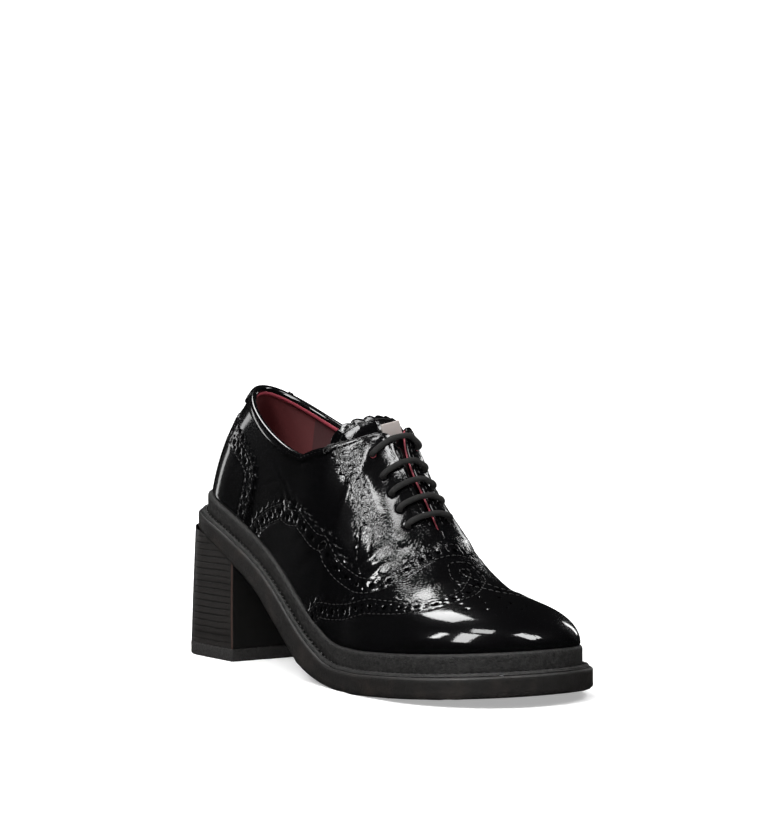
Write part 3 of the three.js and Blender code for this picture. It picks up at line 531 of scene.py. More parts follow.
cells = node(wrinkles, "ShaderNodeTexVoronoi", "wrinkle plates", feature="DISTANCE_TO_EDGE", randomness=1.0)
join(wrinkles, way_in.outputs["Size"], cells.inputs["Scale"])
join(wrinkles, pushed.outputs[0], cells.inputs["Vector"])
soft = node(wrinkles, "ShaderNodeTexNoise", "soft ripples", detail=4.0, roughness=.62)
join(wrinkles, math_node(wrinkles, "MULTIPLY", way_in.outputs["Size"], .72), soft.inputs["Scale"])
join(wrinkles, pushed.outputs[0], soft.inputs["Vector"])
plates = node(wrinkles, "ShaderNodeMapRange", "rounded plates", interpolation_type="SMOOTHSTEP")
plates.inputs["From Max"].default_value = .22
join(wrinkles, cells.outputs["Distance"], plates.inputs["Value"])
both = math_node(wrinkles, "ADD", math_node(wrinkles, "MULTIPLY", plates.outputs[0], .55), soft.outputs["Fac"])
join(wrinkles, math_node(wrinkles, "MULTIPLY", both, way_in.outputs["Flex"]), way_out.inputs["Height"])
between = math_node(wrinkles, "SUBTRACT", 1.0, plates.outputs[0])
breaks = math_node(wrinkles, "MULTIPLY", between, way_in.outputs["Flex"])
join(wrinkles, breaks, way_out.inputs["Shine breaks"])
print("group:", wrinkles.name, len(wrinkles.nodes), "nodes")

# %% Grain: hair-fine unevenness that every surface here has
grain = bpy.data.node_groups.new("Surface grain", "ShaderNodeTree")
socket(grain, "Place", "NodeSocketVector")
socket(grain, "Size", "NodeSocketFloat", 900.0)
socket(grain, "Spread", "NodeSocketFloat", .1)
socket(grain, "Middle", "NodeSocketFloat", .5)
socket(grain, "Height", "NodeSocketFloat", output=True)
socket(grain, "Roughness", "NodeSocketFloat", output=True)
way_in, way_out = grain.nodes.new("NodeGroupInput"), grain.nodes.new("NodeGroupOutput")
fine_noise = node(grain, "ShaderNodeTexNoise", "grain", detail=5.0, roughness=.6)
join(grain, way_in.outputs["Place"], fine_noise.inputs["Vector"])
join(grain, way_in.outputs["Size"], fine_noise.inputs["Scale"])
wide_noise = node(grain, "ShaderNodeTexNoise", "handling", detail=3.0)
join(grain, way_in.outputs["Place"], wide_noise.inputs["Vector"])
join(grain, math_node(grain, "MULTIPLY", way_in.outputs["Size"], .08), wide_noise.inputs["Scale"])
join(grain, fine_noise.outputs["Fac"], way_out.inputs["Height"])
blend_noise = math_node(grain, "ADD", math_node(grain, "MULTIPLY", fine_noise.outputs["Fac"], .4),
                        math_node(grain, "MULTIPLY", wide_noise.outputs["Fac"], .6))
uneven = math_node(grain, "MULTIPLY", math_node(grain, "SUBTRACT", blend_noise, .5), way_in.outputs["Spread"])
join(grain, math_node(grain, "ADD", uneven, way_in.outputs["Middle"]), way_out.inputs["Roughness"])
print("group:", grain.name, len(grain.nodes), "nodes")


# %% A plain finish: one colour with grain
def finish(name, color, roughness, grain_size=900, spread=.15, bump=.1, height=.0002, coat=0, coat_roughness=.1,
           metallic=0, specular=.5, sheen=0):
    material = bpy.data.materials.new(name)
    material.use_nodes = True
    tree = material.node_tree
    shader = tree.nodes["Principled BSDF"]
    shader.inputs["Base Color"].default_value = (*color, 1)
    shader.inputs["Metallic"].default_value = metallic
    shader.inputs["Coat Weight"].default_value = coat
    shader.inputs["Coat Roughness"].default_value = coat_roughness
    shader.inputs["Specular IOR Level"].default_value = specular
    shader.inputs["Sheen Weight"].default_value = sheen
    where = tree.nodes.new("ShaderNodeTexCoord")
    uneven = tree.nodes.new("ShaderNodeGroup")
    uneven.node_tree = grain
    uneven.inputs["Size"].default_value = grain_size
    uneven.inputs["Spread"].default_value = spread
    uneven.inputs["Middle"].default_value = roughness
    tree.links.new(where.outputs["Object"], uneven.inputs["Place"])
    tree.links.new(uneven.outputs["Roughness"], shader.inputs["Roughness"])
    relief = tree.nodes.new("ShaderNodeBump")
    relief.inputs["Strength"].default_value = bump
    relief.inputs["Distance"].default_value = height
    tree.links.new(uneven.outputs["Height"], relief.inputs["Height"])
    tree.links.new(relief.outputs["Normal"], shader.inputs["Normal"])
    return material


def parts_of(material):
    """The material's tree, shader, bump, grain and coordinates, to add to."""
    nodes = material.node_tree.nodes
    kind = {n.bl_idname: n for n in nodes}
    return (material.node_tree, nodes["Principled BSDF"], kind["ShaderNodeBump"], kind["ShaderNodeGroup"],
            kind["ShaderNodeTexCoord"])


def two_tone(tree, shader, share, first, second):
    """Colours a finish between two shades: the first where share is 0, the second where it is 1."""
    shade = tree.nodes.new("ShaderNodeMix")
    shade.data_type = "RGBA"
    shade.inputs["A"].default_value, shade.inputs["B"].default_value = (*first, 1), (*second, 1)
    join(tree, share, shade.inputs["Factor"])
    join(tree, shade.outputs["Result"], shader.inputs["Base Color"])


def patches(tree, where, scale, detail, low, high):
    """Soft noise over the piece, stretched so that low becomes 0 and high becomes 1."""
    noise = tree.nodes.new("ShaderNodeTexNoise")
    noise.inputs["Scale"].default_value, noise.inputs["Detail"].default_value = scale, detail
    join(tree, where.outputs["Object"], noise.inputs["Vector"])
    spread = tree.nodes.new("ShaderNodeMapRange")
    spread.inputs["From Min"].default_value, spread.inputs["From Max"].default_value = low, high
    join(tree, noise.outputs["Fac"], spread.inputs["Value"])
    return spread.outputs["Result"]


# %% Glossy black leather, finely wrinkled where it flexes
black_leather = finish("black glossy leather", (.0013, .0013, .0015), .32, 700, .2, .05, .00015, 1, .055, 0, .03)
tree, shader, relief, uneven, where = parts_of(black_leather)
flexed = tree.nodes.new("ShaderNodeGroup")
flexed.node_tree = wrinkles
flex = tree.nodes.new("ShaderNodeAttribute")
flex.attribute_name = "flex"
join(tree, where.outputs["Object"], flexed.inputs["Place"])
amount = math_node(tree, "ADD", math_node(tree, "MULTIPLY", flex.outputs["Fac"], .93), .05)
join(tree, amount, flexed.inputs["Flex"])
crinkle = tree.nodes.new("ShaderNodeBump")
crinkle.inputs["Strength"].default_value = .6
crinkle.inputs["Distance"].default_value = .00017
join(tree, flexed.outputs["Height"], crinkle.inputs["Height"])
join(tree, relief.outputs["Normal"], crinkle.inputs["Normal"])
join(tree, crinkle.outputs["Normal"], shader.inputs["Normal"])
join(tree, crinkle.outputs["Normal"], shader.inputs["Coat Normal"])
print("finish:", black_leather.name)

# %% The other finishes
black_thread = finish("black waxed thread", (.0075, .0072, .007), .42, 2500, .2, .3)
# Painted shade: a dark matte finish for the rings that fill four eyelet holes
eyelet_hole_shade = finish("painted shade inside an eyelet hole", (.004, .004, .004), .7)
lining_leather = finish("burgundy lining leather", (.115, .019, .021), .55, 500, .25, .25, .0003, sheen=.15)
lining_edge = finish("rose lining edge", (.30, .045, .065), .5, 900, .1, .2)
rand_rubber = finish("dark rand rubber", (.0125, .012, .0115), .6, 1100, .3, .9, .0006)
sole_rubber = finish("worn sole rubber", (.026, .023, .021), .5, 800, .35, .5, .0004)
heel_stack = finish("stacked heel", (.020, .0185, .0175), .42, 900, .3, .3, .0003, coat=.15, coat_roughness=.3)
heel_breast = finish("smooth heel front", (.0050, .0048, .0046), .5, 900, .2, .3, .0002)
heel_worn = finish("rubbed heel edge", (.030, .014, .010), .55, 700, .3, .5, .0003)
lift_rubber = finish("rough top lift", (.016, .015, .0145), .75, 700, .3, 1.0, .0009)
cotton = finish("black cotton lace", (.0030, .0029, .0029), .8, 3000, .1, .3, specular=.2)
plate_metal = finish("dull metal plate", (.50, .45, .43), .42, 1500, .2, .2, metallic=.55)
print("finishes:", [m.name for m in bpy.data.materials])

# %% The lining is darker in front of its seam
tree, shader, relief, uneven, where = parts_of(lining_leather)
front = tree.nodes.new("ShaderNodeAttribute")
front.attribute_name = "front"
two_tone(tree, shader, front.outputs["Fac"], (.125, .020, .022), (.058, .011, .013))
print("two tones:", lining_leather.name)

# %% Ground rubber of the rand has fine pale specks, and the sole's sides are scuffed
tree, shader, relief, uneven, where = parts_of(rand_rubber)
two_tone(tree, shader, patches(tree, where, 650, 5, .36, .66), (.0035, .0033, .0032), (.0165, .0158, .0150))
tree, shader, relief, uneven, where = parts_of(sole_rubber)
two_tone(tree, shader, patches(tree, where, 85, 6, .5, .72), (.0080, .0072, .0068), (.0168, .0130, .0112))
print("two tones:", rand_rubber.name, "and", sole_rubber.name)

# %% Layers of the stacked heel: level dark lines, and each layer a little lighter or darker
LAYER = .003
tree, shader, relief, uneven, where = parts_of(heel_stack)
split = tree.nodes.new("ShaderNodeSeparateXYZ")
join(tree, where.outputs["Object"], split.inputs[0])
wander = tree.nodes.new("ShaderNodeTexNoise")
wander.inputs["Scale"].default_value = 45
join(tree, where.outputs["Object"], wander.inputs["Vector"])
layer = math_node(tree, "ADD", math_node(tree, "MULTIPLY", split.outputs[2], 1 / LAYER),
                  math_node(tree, "MULTIPLY", wander.outputs["Fac"], .35))
line = tree.nodes.new("ShaderNodeMapRange")
line.interpolation_type = "SMOOTHSTEP"
line.inputs["From Min"].default_value, line.inputs["From Max"].default_value = .0, .2
join(tree, math_node(tree, "PINGPONG", layer, .5), line.inputs["Value"])
tone = tree.nodes.new("ShaderNodeTexWhiteNoise")
tone.noise_dimensions = "1D"
join(tree, math_node(tree, "FLOOR", math_node(tree, "ADD", layer, .5)), tone.inputs["W"])
own_shade = math_node(tree, "ADD", math_node(tree, "MULTIPLY", tone.outputs[0], .5), .75)
lit = math_node(tree, "MULTIPLY", line.outputs[0], own_shade)
two_tone(tree, shader, lit, (.0022, .0020, .0019), (.0150, .0136, .0128))
layers = tree.nodes.new("ShaderNodeBump")
layers.inputs["Strength"].default_value, layers.inputs["Distance"].default_value = .5, .00014
join(tree, line.outputs[0], layers.inputs["Height"])
join(tree, relief.outputs["Normal"], layers.inputs["Normal"])
join(tree, layers.outputs["Normal"], shader.inputs["Normal"])
print("layers of", LAYER * 1000, "mm:", heel_stack.name)

# %% [markdown]
# Brogueing is a pattern of its own: each overlay ends in pinked teeth, then comes a row of
# stitches, a row of large holes with pairs of small ones between them, and a second row of
# stitches. The rows are the edge itself, shifted inwards over the leather.

# %% Edges of the overlays (share along the shoe, height up the wall)
VAMP_EDGE = table("share up", (.236, 0), (.253, .15), (.28, .283), (.327, .45), (.377, .55), (.43, .55), (.477, .49),
                  (.523, .41), (.572, .38), (.617, .40), (.66, .44), (.687, .55), (.694, .72), (.700, 1))
WING_EDGE = table("share up", (.5, 0), (.52, .083), (.583, .2), (.65, .3), (.69, .383), (.738, .467), (.781, .567),
                  (.806, .667), (.806, .783), (.786, .883), (.757, 1))
EYESTAY_EDGE = table("share up", (.474, 1), (.5, .81), (.534, .62), (.563, .55), (.583, .5), (.606, .40))
COUNTER_EDGE = table("share up", (.224, 0), (.229, .16), (.233, .283), (.233, .433), (.226, .55), (.208, .633),
                     (.183, .683), (.137, .717), (.085, .74), (0, .76))
TAB_EDGE = table("share up", (.045, 1), (.036, .93), (.022, .85), (0, .80))
FACING_FROM, FACING_TO = .537, .684


def smooth_edge(rows, count=160):
    """A half edge on the lateral side as a smooth curve of (share, across)."""
    spans = np.hypot(np.diff(rows["share"]) * LENGTH_MM, np.diff(rows["up"]) * ACROSS_MM)
    run = np.concatenate([[0], np.cumsum(spans)])
    curve = dict(rows, at=run / run[-1])
    at = np.linspace(0, 1, count)
    return np.stack([along(curve, "share", at), along(curve, "up", at) - 1], -1)


def whole_edge(rows):
    """The edge from the lateral foot over the middle to the medial foot."""
    half = smooth_edge(rows)
    return np.concatenate([half, (half * [1, -1])[-2::-1]])


def heel_edge(rows):
    """The edge from the lateral side round the back to the medial side, in negative shares."""
    half = smooth_edge(rows)
    return np.concatenate([half, (half * [-1, 1])[-2::-1]])


wing_edge, vamp_edge = whole_edge(WING_EDGE), whole_edge(VAMP_EDGE)
counter_edge, tab_edge = heel_edge(COUNTER_EDGE), heel_edge(TAB_EDGE)
for name, curve in (("wing", wing_edge), ("vamp", vamp_edge), ("counter", counter_edge), ("tab", tab_edge)):
    length = np.linalg.norm(np.diff(place(curve[:, 0], curve[:, 1]), axis=0), axis=1).sum()
    print(f"{name} edge {length:.0f} mm")

# %% Rows of stitches and holes beside an edge
TOOTH, TOOTH_DEPTH = 5.6, 1.7
FIRST_ROW, HOLE_ROW, SECOND_ROW = 3.3, 6.6, 9.9
BIG_HOLE, SMALL_HOLE = 1.15, .55
stitch_rows = []


def row_of_holes(edge, distance, period=8.4, side=-1):
    """Large holes with a pair of small ones between them."""
    row = even(beside(even(edge, 1.5), side * distance), period / 2, 2)
    near, far = (even(beside(even(edge, 1.5), side * (distance + gap)), period / 2, 2) for gap in (-1.25, 1.25))
    holes = [(*row[i], BIG_HOLE) for i in range(1, len(row) - 1, 2)]
    for i in range(2, len(row) - 1, 2):
        middle = row[i]
        for pair in (near, far):
            spot = pair[np.linalg.norm(place(pair[:, 0], pair[:, 1]) - place(*middle), axis=1).argmin()]
            mid_gap = place(*spot) - place(*middle)
            if .6 < np.linalg.norm(mid_gap) < 2.4:
                holes.append((*spot, SMALL_HOLE))
    return holes


def row_of_stitches(edge, distance, lift, side=-1, pitch=2.9):
    """Keeps a row of stitches for later: its places and how high its leather is."""
    curve = beside(even(edge, 1.5), side * distance) if distance else even(edge, 1.5)
    stitch_rows.append((even(curve, pitch), lift - .16))
    return curve


TOP, MIDDLE, LOWER = 2.0, 1.5, 1.0
print("leather heights, mm:", TOP, MIDDLE, LOWER)

# %% The wing-shaped toe cap
def foot_line(start, end, across, spacing=.9):
    """Along the foot of the leather, just behind the rand's top."""
    ends = to_flat(np.array([[start, across], [end, across]]))
    return even(from_flat(ends[0] + (ends[1] - ends[0]) * np.linspace(0, 1, 240)[:, None]), spacing)


wing_holes = row_of_holes(wing_edge, HOLE_ROW)
MEDALLION = [(.812, 0), (.826, -.14), (.826, .14), (.842, -.27), (.842, .27), (.862, -.30), (.862, .30), (.866, 0),
             (.852, -.12), (.852, .12), (.882, -.16), (.882, .16), (.898, 0), (.885, -.33), (.885, .33),
             (.907, -.24), (.907, .24), (.915, -.08), (.915, .08), (.928, 0)]
medallion = [(share, across, .95 if i in (0, 7, 12) else SMALL_HOLE) for i, (share, across) in enumerate(MEDALLION)]
loop = np.concatenate([pinked(wing_edge, TOOTH, -TOOTH_DEPTH), foot_line(.5, .9995, 1.03),
                       foot_line(.9995, .5, -1.03)])
seams = [row_of_stitches(wing_edge, distance, TOP) for distance in (FIRST_ROW, SECOND_ROW)]
toe_cap = cut_leather("toe_cap_leather", loop, black_leather, TOP, .8, wing_holes + medallion, seams)

# %% The vamp's long overlay
vamp_holes = row_of_holes(vamp_edge, HOLE_ROW)
under_cap = beside(even(wing_edge, 1.2), -3.2)
loop = np.concatenate([pinked(vamp_edge, TOOTH, -TOOTH_DEPTH), foot_line(.236, under_cap[-1][0], 1.03),
                       under_cap[::-1], foot_line(under_cap[0][0], .236, -1.03)])
seams = [row_of_stitches(vamp_edge, distance, MIDDLE) for distance in (FIRST_ROW, SECOND_ROW)]
vamp = cut_leather("vamp_leather", loop, black_leather, MIDDLE, 0, vamp_holes, seams)

# %% The heel counter and the small tab above it
counter_holes = row_of_holes(counter_edge, HOLE_ROW, side=1)
loop = np.concatenate([pinked(counter_edge, TOOTH, TOOTH_DEPTH), foot_line(-.224, .224, -1.03)])
seams = [row_of_stitches(counter_edge, distance, LOWER, 1) for distance in (FIRST_ROW, SECOND_ROW)]
counter = cut_leather("heel_counter_leather", loop, black_leather, LOWER, 0, counter_holes, seams)
top_line = np.stack([np.linspace(-.045, .045, 60), np.full(60, -.004)], -1)
loop = np.concatenate([pinked(tab_edge, 4.2, -1.2), even(top_line, .8)])
loop[:, 1] = np.minimum(loop[:, 1], -.003)
seams = [row_of_stitches(tab_edge, 2.4, MIDDLE)]
heel_tab = cut_leather("heel_tab_leather", loop, black_leather, MIDDLE, 0, (), seams)

# %% Eyestays: the strips beside the lacing
EYELETS, EYELET_MARGIN, EYELET_RADIUS = (.552, .58, .607, .634, .661), 12.6, 1.7


def eyelet_across(side, share):
    """Where an eyelet lies: the named margin from the facing's edge, less on the medial side."""
    tries = np.linspace(0, .5, 600)
    spots = on_upper(side, share, 1 - tries, -LOWER)
    return side * tries[np.linalg.norm(spots - spots[0], axis=1) >= EYELET_MARGIN - (5.0 if side > 0 else 0)][0]


def eyestay(side):
    outer = smooth_edge(EYESTAY_EDGE) * [1, -side]
    lower = smooth_edge(VAMP_EDGE)
    lower = beside(lower[(lower[:, 0] > .606) & (lower[:, 1] > -.62)], -3) * [1, -side]
    facing = np.array([(share, side * .004) for share in np.linspace(min(lower[-1, 0], FACING_TO), .474, 200)])
    loop = np.concatenate([pinked(outer, TOOTH, -side * TOOTH_DEPTH), even(lower, 1), even(facing, .8)])
    loop[:, 1] = side * np.maximum(side * loop[:, 1], .003)
    holes = row_of_holes(outer, HOLE_ROW - .6, side=-side)
    holes = [hole for hole in holes if abs(hole[1]) > .1 and hole[0] < .6]
    eyelets = [(share, eyelet_across(side, share), EYELET_RADIUS) for share in EYELETS]
    seams = [row_of_stitches(outer, distance, LOWER, -side) for distance in (FIRST_ROW - .4, SECOND_ROW - .8)]
    beside_slit = np.array([(share, side * .052) for share in np.linspace(.53, .672, 120)])
    seams.append(row_of_stitches(beside_slit, 0, LOWER))
    name = "eyestay_lateral_leather" if side < 0 else "eyestay_medial_leather"
    return cut_leather(name, loop, black_leather, LOWER, 0, holes + eyelets, seams)


eyestays = [eyestay(side) for side in (-1, 1)]

# %% [markdown]
# Under the overlays lies the shoe's body: the outer leather, the lining inside it, and a
# binding folded over the collar. These follow the last without teeth or holes, so plain
# grids are enough.

# %% Grids over the form
def grid_piece(name, points, material, flip=False, closed=False):
    """A sheet from rows of points; closed joins each row's end to its start."""
    rows, columns = points.shape[:2]
    faces = []
    for i in range(rows - 1):
        for j in range(columns if closed else columns - 1):
            a, b = i * columns + j, i * columns + (j + 1) % columns
            face = (a, b, b + columns, a + columns)
            faces.append(face[::-1] if flip else face)
    return new_mesh(name, points.reshape(-1, 3), faces, material)


def joined(name, pieces):
    """Several pieces made one, with doubled points merged."""
    bpy.ops.object.select_all(action="DESELECT")
    for piece in pieces:
        piece.select_set(True)
    bpy.context.view_layer.objects.active = pieces[0]
    bpy.ops.object.join()
    made = bpy.context.view_layer.objects.active
    made.name = made.data.name = name
    bpy.ops.object.mode_set(mode="EDIT")
    bpy.ops.mesh.select_all(action="SELECT")
    bpy.ops.mesh.remove_doubles(threshold=.00002)
    bpy.ops.object.mode_set(mode="OBJECT")
    return made


def shares_between(start, end, spacing):
    run = np.interp([start, end], fine, walk)
    return np.interp(np.linspace(*run, int((run[1] - run[0]) / spacing) + 2), walk, fine)


quarters = []
for side in (-1, 1):
    shares = np.unique(np.concatenate([shares_between(0, .80, 1.5), [FACING_FROM, FACING_TO]]))
    across = side * np.linspace(1.05, 1e-4, 70)
    sheet = grid_piece("quarter", place(shares[:, None], across[None]), black_leather, flip=side > 0)
    write_flex(sheet, np.stack(np.broadcast_arrays(shares[:, None], across[None]), -1).reshape(-1, 2))
    quarters.append(sheet)
quarters = joined("quarter_leather", quarters)
print("quarters:", len(quarters.data.polygons), "faces")

# %% Lining
LINING_SEAM = .112
linings = []
for side in (-1, 1):
    changes = [LINING_SEAM, LINING_SEAM + .002, FACING_FROM, FACING_TO]
    shares = np.unique(np.concatenate([shares_between(0, 1, 2), changes]))
    s = np.linspace(-.95, 1, 50)
    places = side * (1 - np.abs(s[None]))
    places = np.where(places == 0, side * 1e-6, places)
    depth = UPPER_WALL - creases(shares[:, None], places) * .4 - standing(shares[:, None], places)
    points = on_upper(side, shares[:, None], s[None], depth) + SHIFT
    sheet = grid_piece("lining", points, lining_leather, flip=side < 0)
    layer = sheet.data.attributes.new("front", "FLOAT", "POINT")
    layer.data.foreach_set("value", np.repeat(shares > LINING_SEAM + .001, len(s)).astype(np.float32))
    linings.append(sheet)
lining = joined("upper_lining", linings)
print("lining:", len(lining.data.polygons), "faces")


# %% Collar binding and the facings' folded edges
def top_frame(shares, side):
    """Along the top edge: outer corner, direction out, direction down the wall."""
    points = np.stack([shares, np.full(len(shares), side * .006)], -1)
    corner = place(points[:, 0], side * 1e-4)
    out = directions(points[:, 0], points[:, 1])[2]
    down = place(points[:, 0], side * .04) - corner
    down /= np.linalg.norm(down, axis=1, keepdims=True)
    return corner, out, down


def edge_band(name, shares, side, profile, material):
    """Sweeps a small profile of (out, down) along the top edge."""
    corner, out, down = top_frame(shares, side)
    rows = [corner + out * o + down * d for o, d in profile]
    return grid_piece(name, np.stack(rows, 1), material, flip=side < 0)


def round_profile(outer, inner, depth_out, depth_in, crown, steps=9):
    """Down the outside, over a rounded crown and down the inside."""
    middle, half = (outer + inner) / 2, (outer - inner) / 2
    over = [(middle + half * math.cos(a), .5 - (crown + .5) * math.sin(a)) for a in np.linspace(0, math.pi, steps)]
    return [(outer - .45, depth_out), (outer, depth_out - .3), *over, (inner, depth_in)]


BINDING = round_profile(.75, -2.7, 3.4, 1.6, .9)
FACING_LEATHER, FACING_LINING = round_profile(.3, -1.3, .5, .8, .2), round_profile(-1.2, -2.3, .7, 1.0, 0)
PIPING = ((-2.6, .8), (-2.95, 1.1), (-3.05, 2), (-2.9, 2.9), (-2.3, 3.2))
collar_shares = shares_between(0, FACING_FROM, 1.3)
binding = joined("collar_binding", [edge_band("binding", collar_shares, side, BINDING, black_leather)
                                    for side in (-1, 1)])
facing_shares = shares_between(FACING_FROM, FACING_TO - .002, 1.3)
facing_edges = joined("facing_edges", [edge_band("facing edge", facing_shares, side, profile, material)
                                       for side in (-1, 1) for profile, material in
                                       ((FACING_LEATHER, black_leather), (FACING_LINING, lining_edge))])
piping = joined("lining_piping", [edge_band("piping", collar_shares, side, PIPING, lining_edge) for side in (-1, 1)])
for side in (-1, 1):
    stitch_rows.append((even(np.array([(share, side * .036) for share in collar_shares[2:-2]]), 2.6), .62))
print("binding:", len(binding.data.polygons), "faces")

# %% [markdown]
# The tongue lies under the facings and bridges the slit. Its top end is cut with small
# scallops and edged with a row of stitches, so its outline is drawn flat and then bent.

# %% Tongue
TONGUE_CLEARANCE, TONGUE_WALL, TONGUE_TOP = 1.6, 2.4, 124
TONGUE_SPREAD, TONGUE_BRIDGE, TONGUE_SINK = .30, .25, 2.7
TONGUE_START = (TONGUE_TOP - UPPER_INSET) / LENGTH_MM
# Its free top edge, from the lateral to the medial corner, in millimetres
TONGUE_END = table("across x y z", (-1, -10, -18.2, 101), (-.8, -6.5, -16, 109.3), (-.5, -2, -11, 113),
                   (-.2, 1, -3.5, 114.8), (.15, 1.5, 4, 114.8), (.5, 1, 9.6, 113.2), (.8, 2, 13, 109),
                   (1, 4, 16.5, 102))


def sunk(across):
    """How much deeper than its clearance the tongue lies, less towards its side edges."""
    return TONGUE_SINK * np.exp(-(across / .75) ** 4)


def on_tongue(share, across, depth):
    """A point of the tongue: across runs from -1 at its lateral edge to 1 at its medial edge."""
    share, across = np.broadcast_arrays(np.asarray(share, float), np.asarray(across, float))
    start = np.maximum(share, FACING_FROM)
    side = np.where(across < 0, -1.0, 1.0)
    depth = depth + sunk(across)
    lying = np.maximum(np.abs(across) - TONGUE_BRIDGE, 0) / (1 - TONGUE_BRIDGE)
    point = on_upper(side, start, 1 - TONGUE_SPREAD * lying, depth)
    left, right = on_upper(-1, start, 1, depth), on_upper(1, start, 1, depth)
    below = on_upper(-1, start, .97, depth)
    t = (across / TONGUE_BRIDGE + 1) / 2
    bridge = mix(left, right, t[..., None])
    slope = (left[..., 2] - below[..., 2]) / (left[..., 1] - below[..., 1])
    bridge[..., 2] += slope * (right[..., 1] - left[..., 1]) * t * (1 - t)
    point = np.where((np.abs(across) < TONGUE_BRIDGE)[..., None], bridge, point)
    # Above the facings the tongue stands up and spreads to its top edge
    above = np.clip((start - share) / (FACING_FROM - TONGUE_START), 0, 1)[..., None]
    end = np.stack([np.interp(across, TONGUE_END["across"], TONGUE_END[axis]) for axis in "xyz"], -1)
    outwards = UPPER_WALL + TONGUE_CLEARANCE + TONGUE_WALL / 2 + sunk(across) - depth
    end = end + np.stack([outwards * .8, outwards * 0, outwards * .6], -1)
    puffed = np.sin(above * math.pi) * 1.2 * np.exp(-(across[..., None] / .9) ** 4)
    ripple = .32 * np.sin(share * 330 + across * 2.6 + 1.4 * np.sin(across * 5))[..., None] * np.sin(above * math.pi)
    return (point + SHIFT) * (1 - above) + end * above + (puffed + ripple) * [.8, 0, .6]


scallop = 1 - np.abs(np.sin(np.linspace(0, 9 * math.pi, 181)))
tongue_across = np.linspace(-1, 1, 181)
tongue_end = TONGUE_START + scallop * .7 / LENGTH_MM
down = np.concatenate([[0, .004, .02], np.linspace(.04, 1, 60)])
tongue_shares = tongue_end[None] + (FACING_TO - tongue_end[None]) * down[:, None]
middle_depth = UPPER_WALL + TONGUE_CLEARANCE + TONGUE_WALL / 2
half_wall = TONGUE_WALL / 2 * np.minimum(1, .35 + down * 30)[:, None] * (1 - .6 * np.abs(tongue_across[None]) ** 12)
face = grid_piece("tongue face", on_tongue(tongue_shares, tongue_across[None], middle_depth - half_wall), black_leather,
                  flip=True)
write_flex(face, np.tile([[.55, .1]], (len(face.data.vertices), 1)))
tongue_back = grid_piece("tongue back", on_tongue(tongue_shares, tongue_across[None], middle_depth + half_wall),
                         lining_leather)
rim = []
for line in (np.s_[0, :], np.s_[:, 0], np.s_[:, -1]):
    wide = [on_tongue(tongue_shares[line], np.broadcast_to(tongue_across[None], tongue_shares.shape)[line],
                      (middle_depth + sign * half_wall[line if line[1] != np.s_[:] else np.s_[0, :]]))
            for sign in (-1, 1)]
    rim.append(grid_piece("tongue rim", np.stack(wide, 0), black_leather))
tongue = joined("tongue_leather", [face, *rim])
tongue_back.name = tongue_back.data.name = "tongue_lining"
print("tongue:", len(tongue.data.polygons), "faces")

# %% The plain plate on the tongue
PLATE_LENGTH, PLATE_WIDTH, PLATE_THICKNESS = 6.4, 11, 1.0
plate_share = mix(FACING_FROM, TONGUE_START, .40)
middle, lower, beside_it = (on_tongue(*spot, UPPER_WALL + TONGUE_CLEARANCE) for spot in
                            ((plate_share, .02), (plate_share + .006, .02), (plate_share, .22)))
bpy.ops.mesh.primitive_cube_add(size=1)
plate = bpy.context.object
plate.name = plate.data.name = "tongue_badge_plate"
corners = np.array([v.co for v in plate.data.vertices]) * [PLATE_LENGTH, PLATE_WIDTH, PLATE_THICKNESS]
corners[:, 2] += PLATE_THICKNESS / 2 + .6
downward = (lower - middle) / np.linalg.norm(lower - middle)
facing_out = np.cross(downward, beside_it - middle)
facing_out /= np.linalg.norm(facing_out)
corners = corners @ np.stack([downward, np.cross(facing_out, downward), facing_out]) + middle
plate.data.vertices.foreach_set("co", (corners / 1000).ravel())
plate.data.materials.append(plate_metal)
rounding = plate.modifiers.new("rounded edges", "BEVEL")
rounding.width, rounding.segments = .0004, 3
print("plate at", middle.round(1))

# %% [markdown]
# The lace is a round braid. Each bar comes up out of one eyelet, lies over the slit and goes
# down through the other, so it is a tube swept along a smooth path. The braid is drawn by
# the material in the tube's own coordinates, because a pattern in space would not turn
# with the lace.

# %% Tubes along a path
def smooth_path(points, count):
    """A smooth curve through the points."""
    points = np.asarray(points, float)
    padded = np.concatenate([[2 * points[0] - points[1]], points, [2 * points[-1] - points[-2]]])
    knots = np.concatenate([[0], np.cumsum(np.sqrt(np.linalg.norm(np.diff(padded, axis=0), axis=1)))])
    result = []
    for t in np.linspace(knots[1], knots[-2], count):
        i = min(max(int(np.searchsorted(knots, t, side="right")) - 1, 1), len(points) - 1)
        p, k = padded[i - 1:i + 3], knots[i - 1:i + 3]
        a = [(k[j + 1] - t) / (k[j + 1] - k[j]) * p[j] + (t - k[j]) / (k[j + 1] - k[j]) * p[j + 1] for j in range(3)]
        b = [(k[j + 2] - t) / (k[j + 2] - k[j]) * a[j] + (t - k[j]) / (k[j + 2] - k[j]) * a[j + 1] for j in range(2)]
        result.append((k[2] - t) / (k[2] - k[1]) * b[0] + (t - k[1]) / (k[2] - k[1]) * b[1])
    return np.array(result)


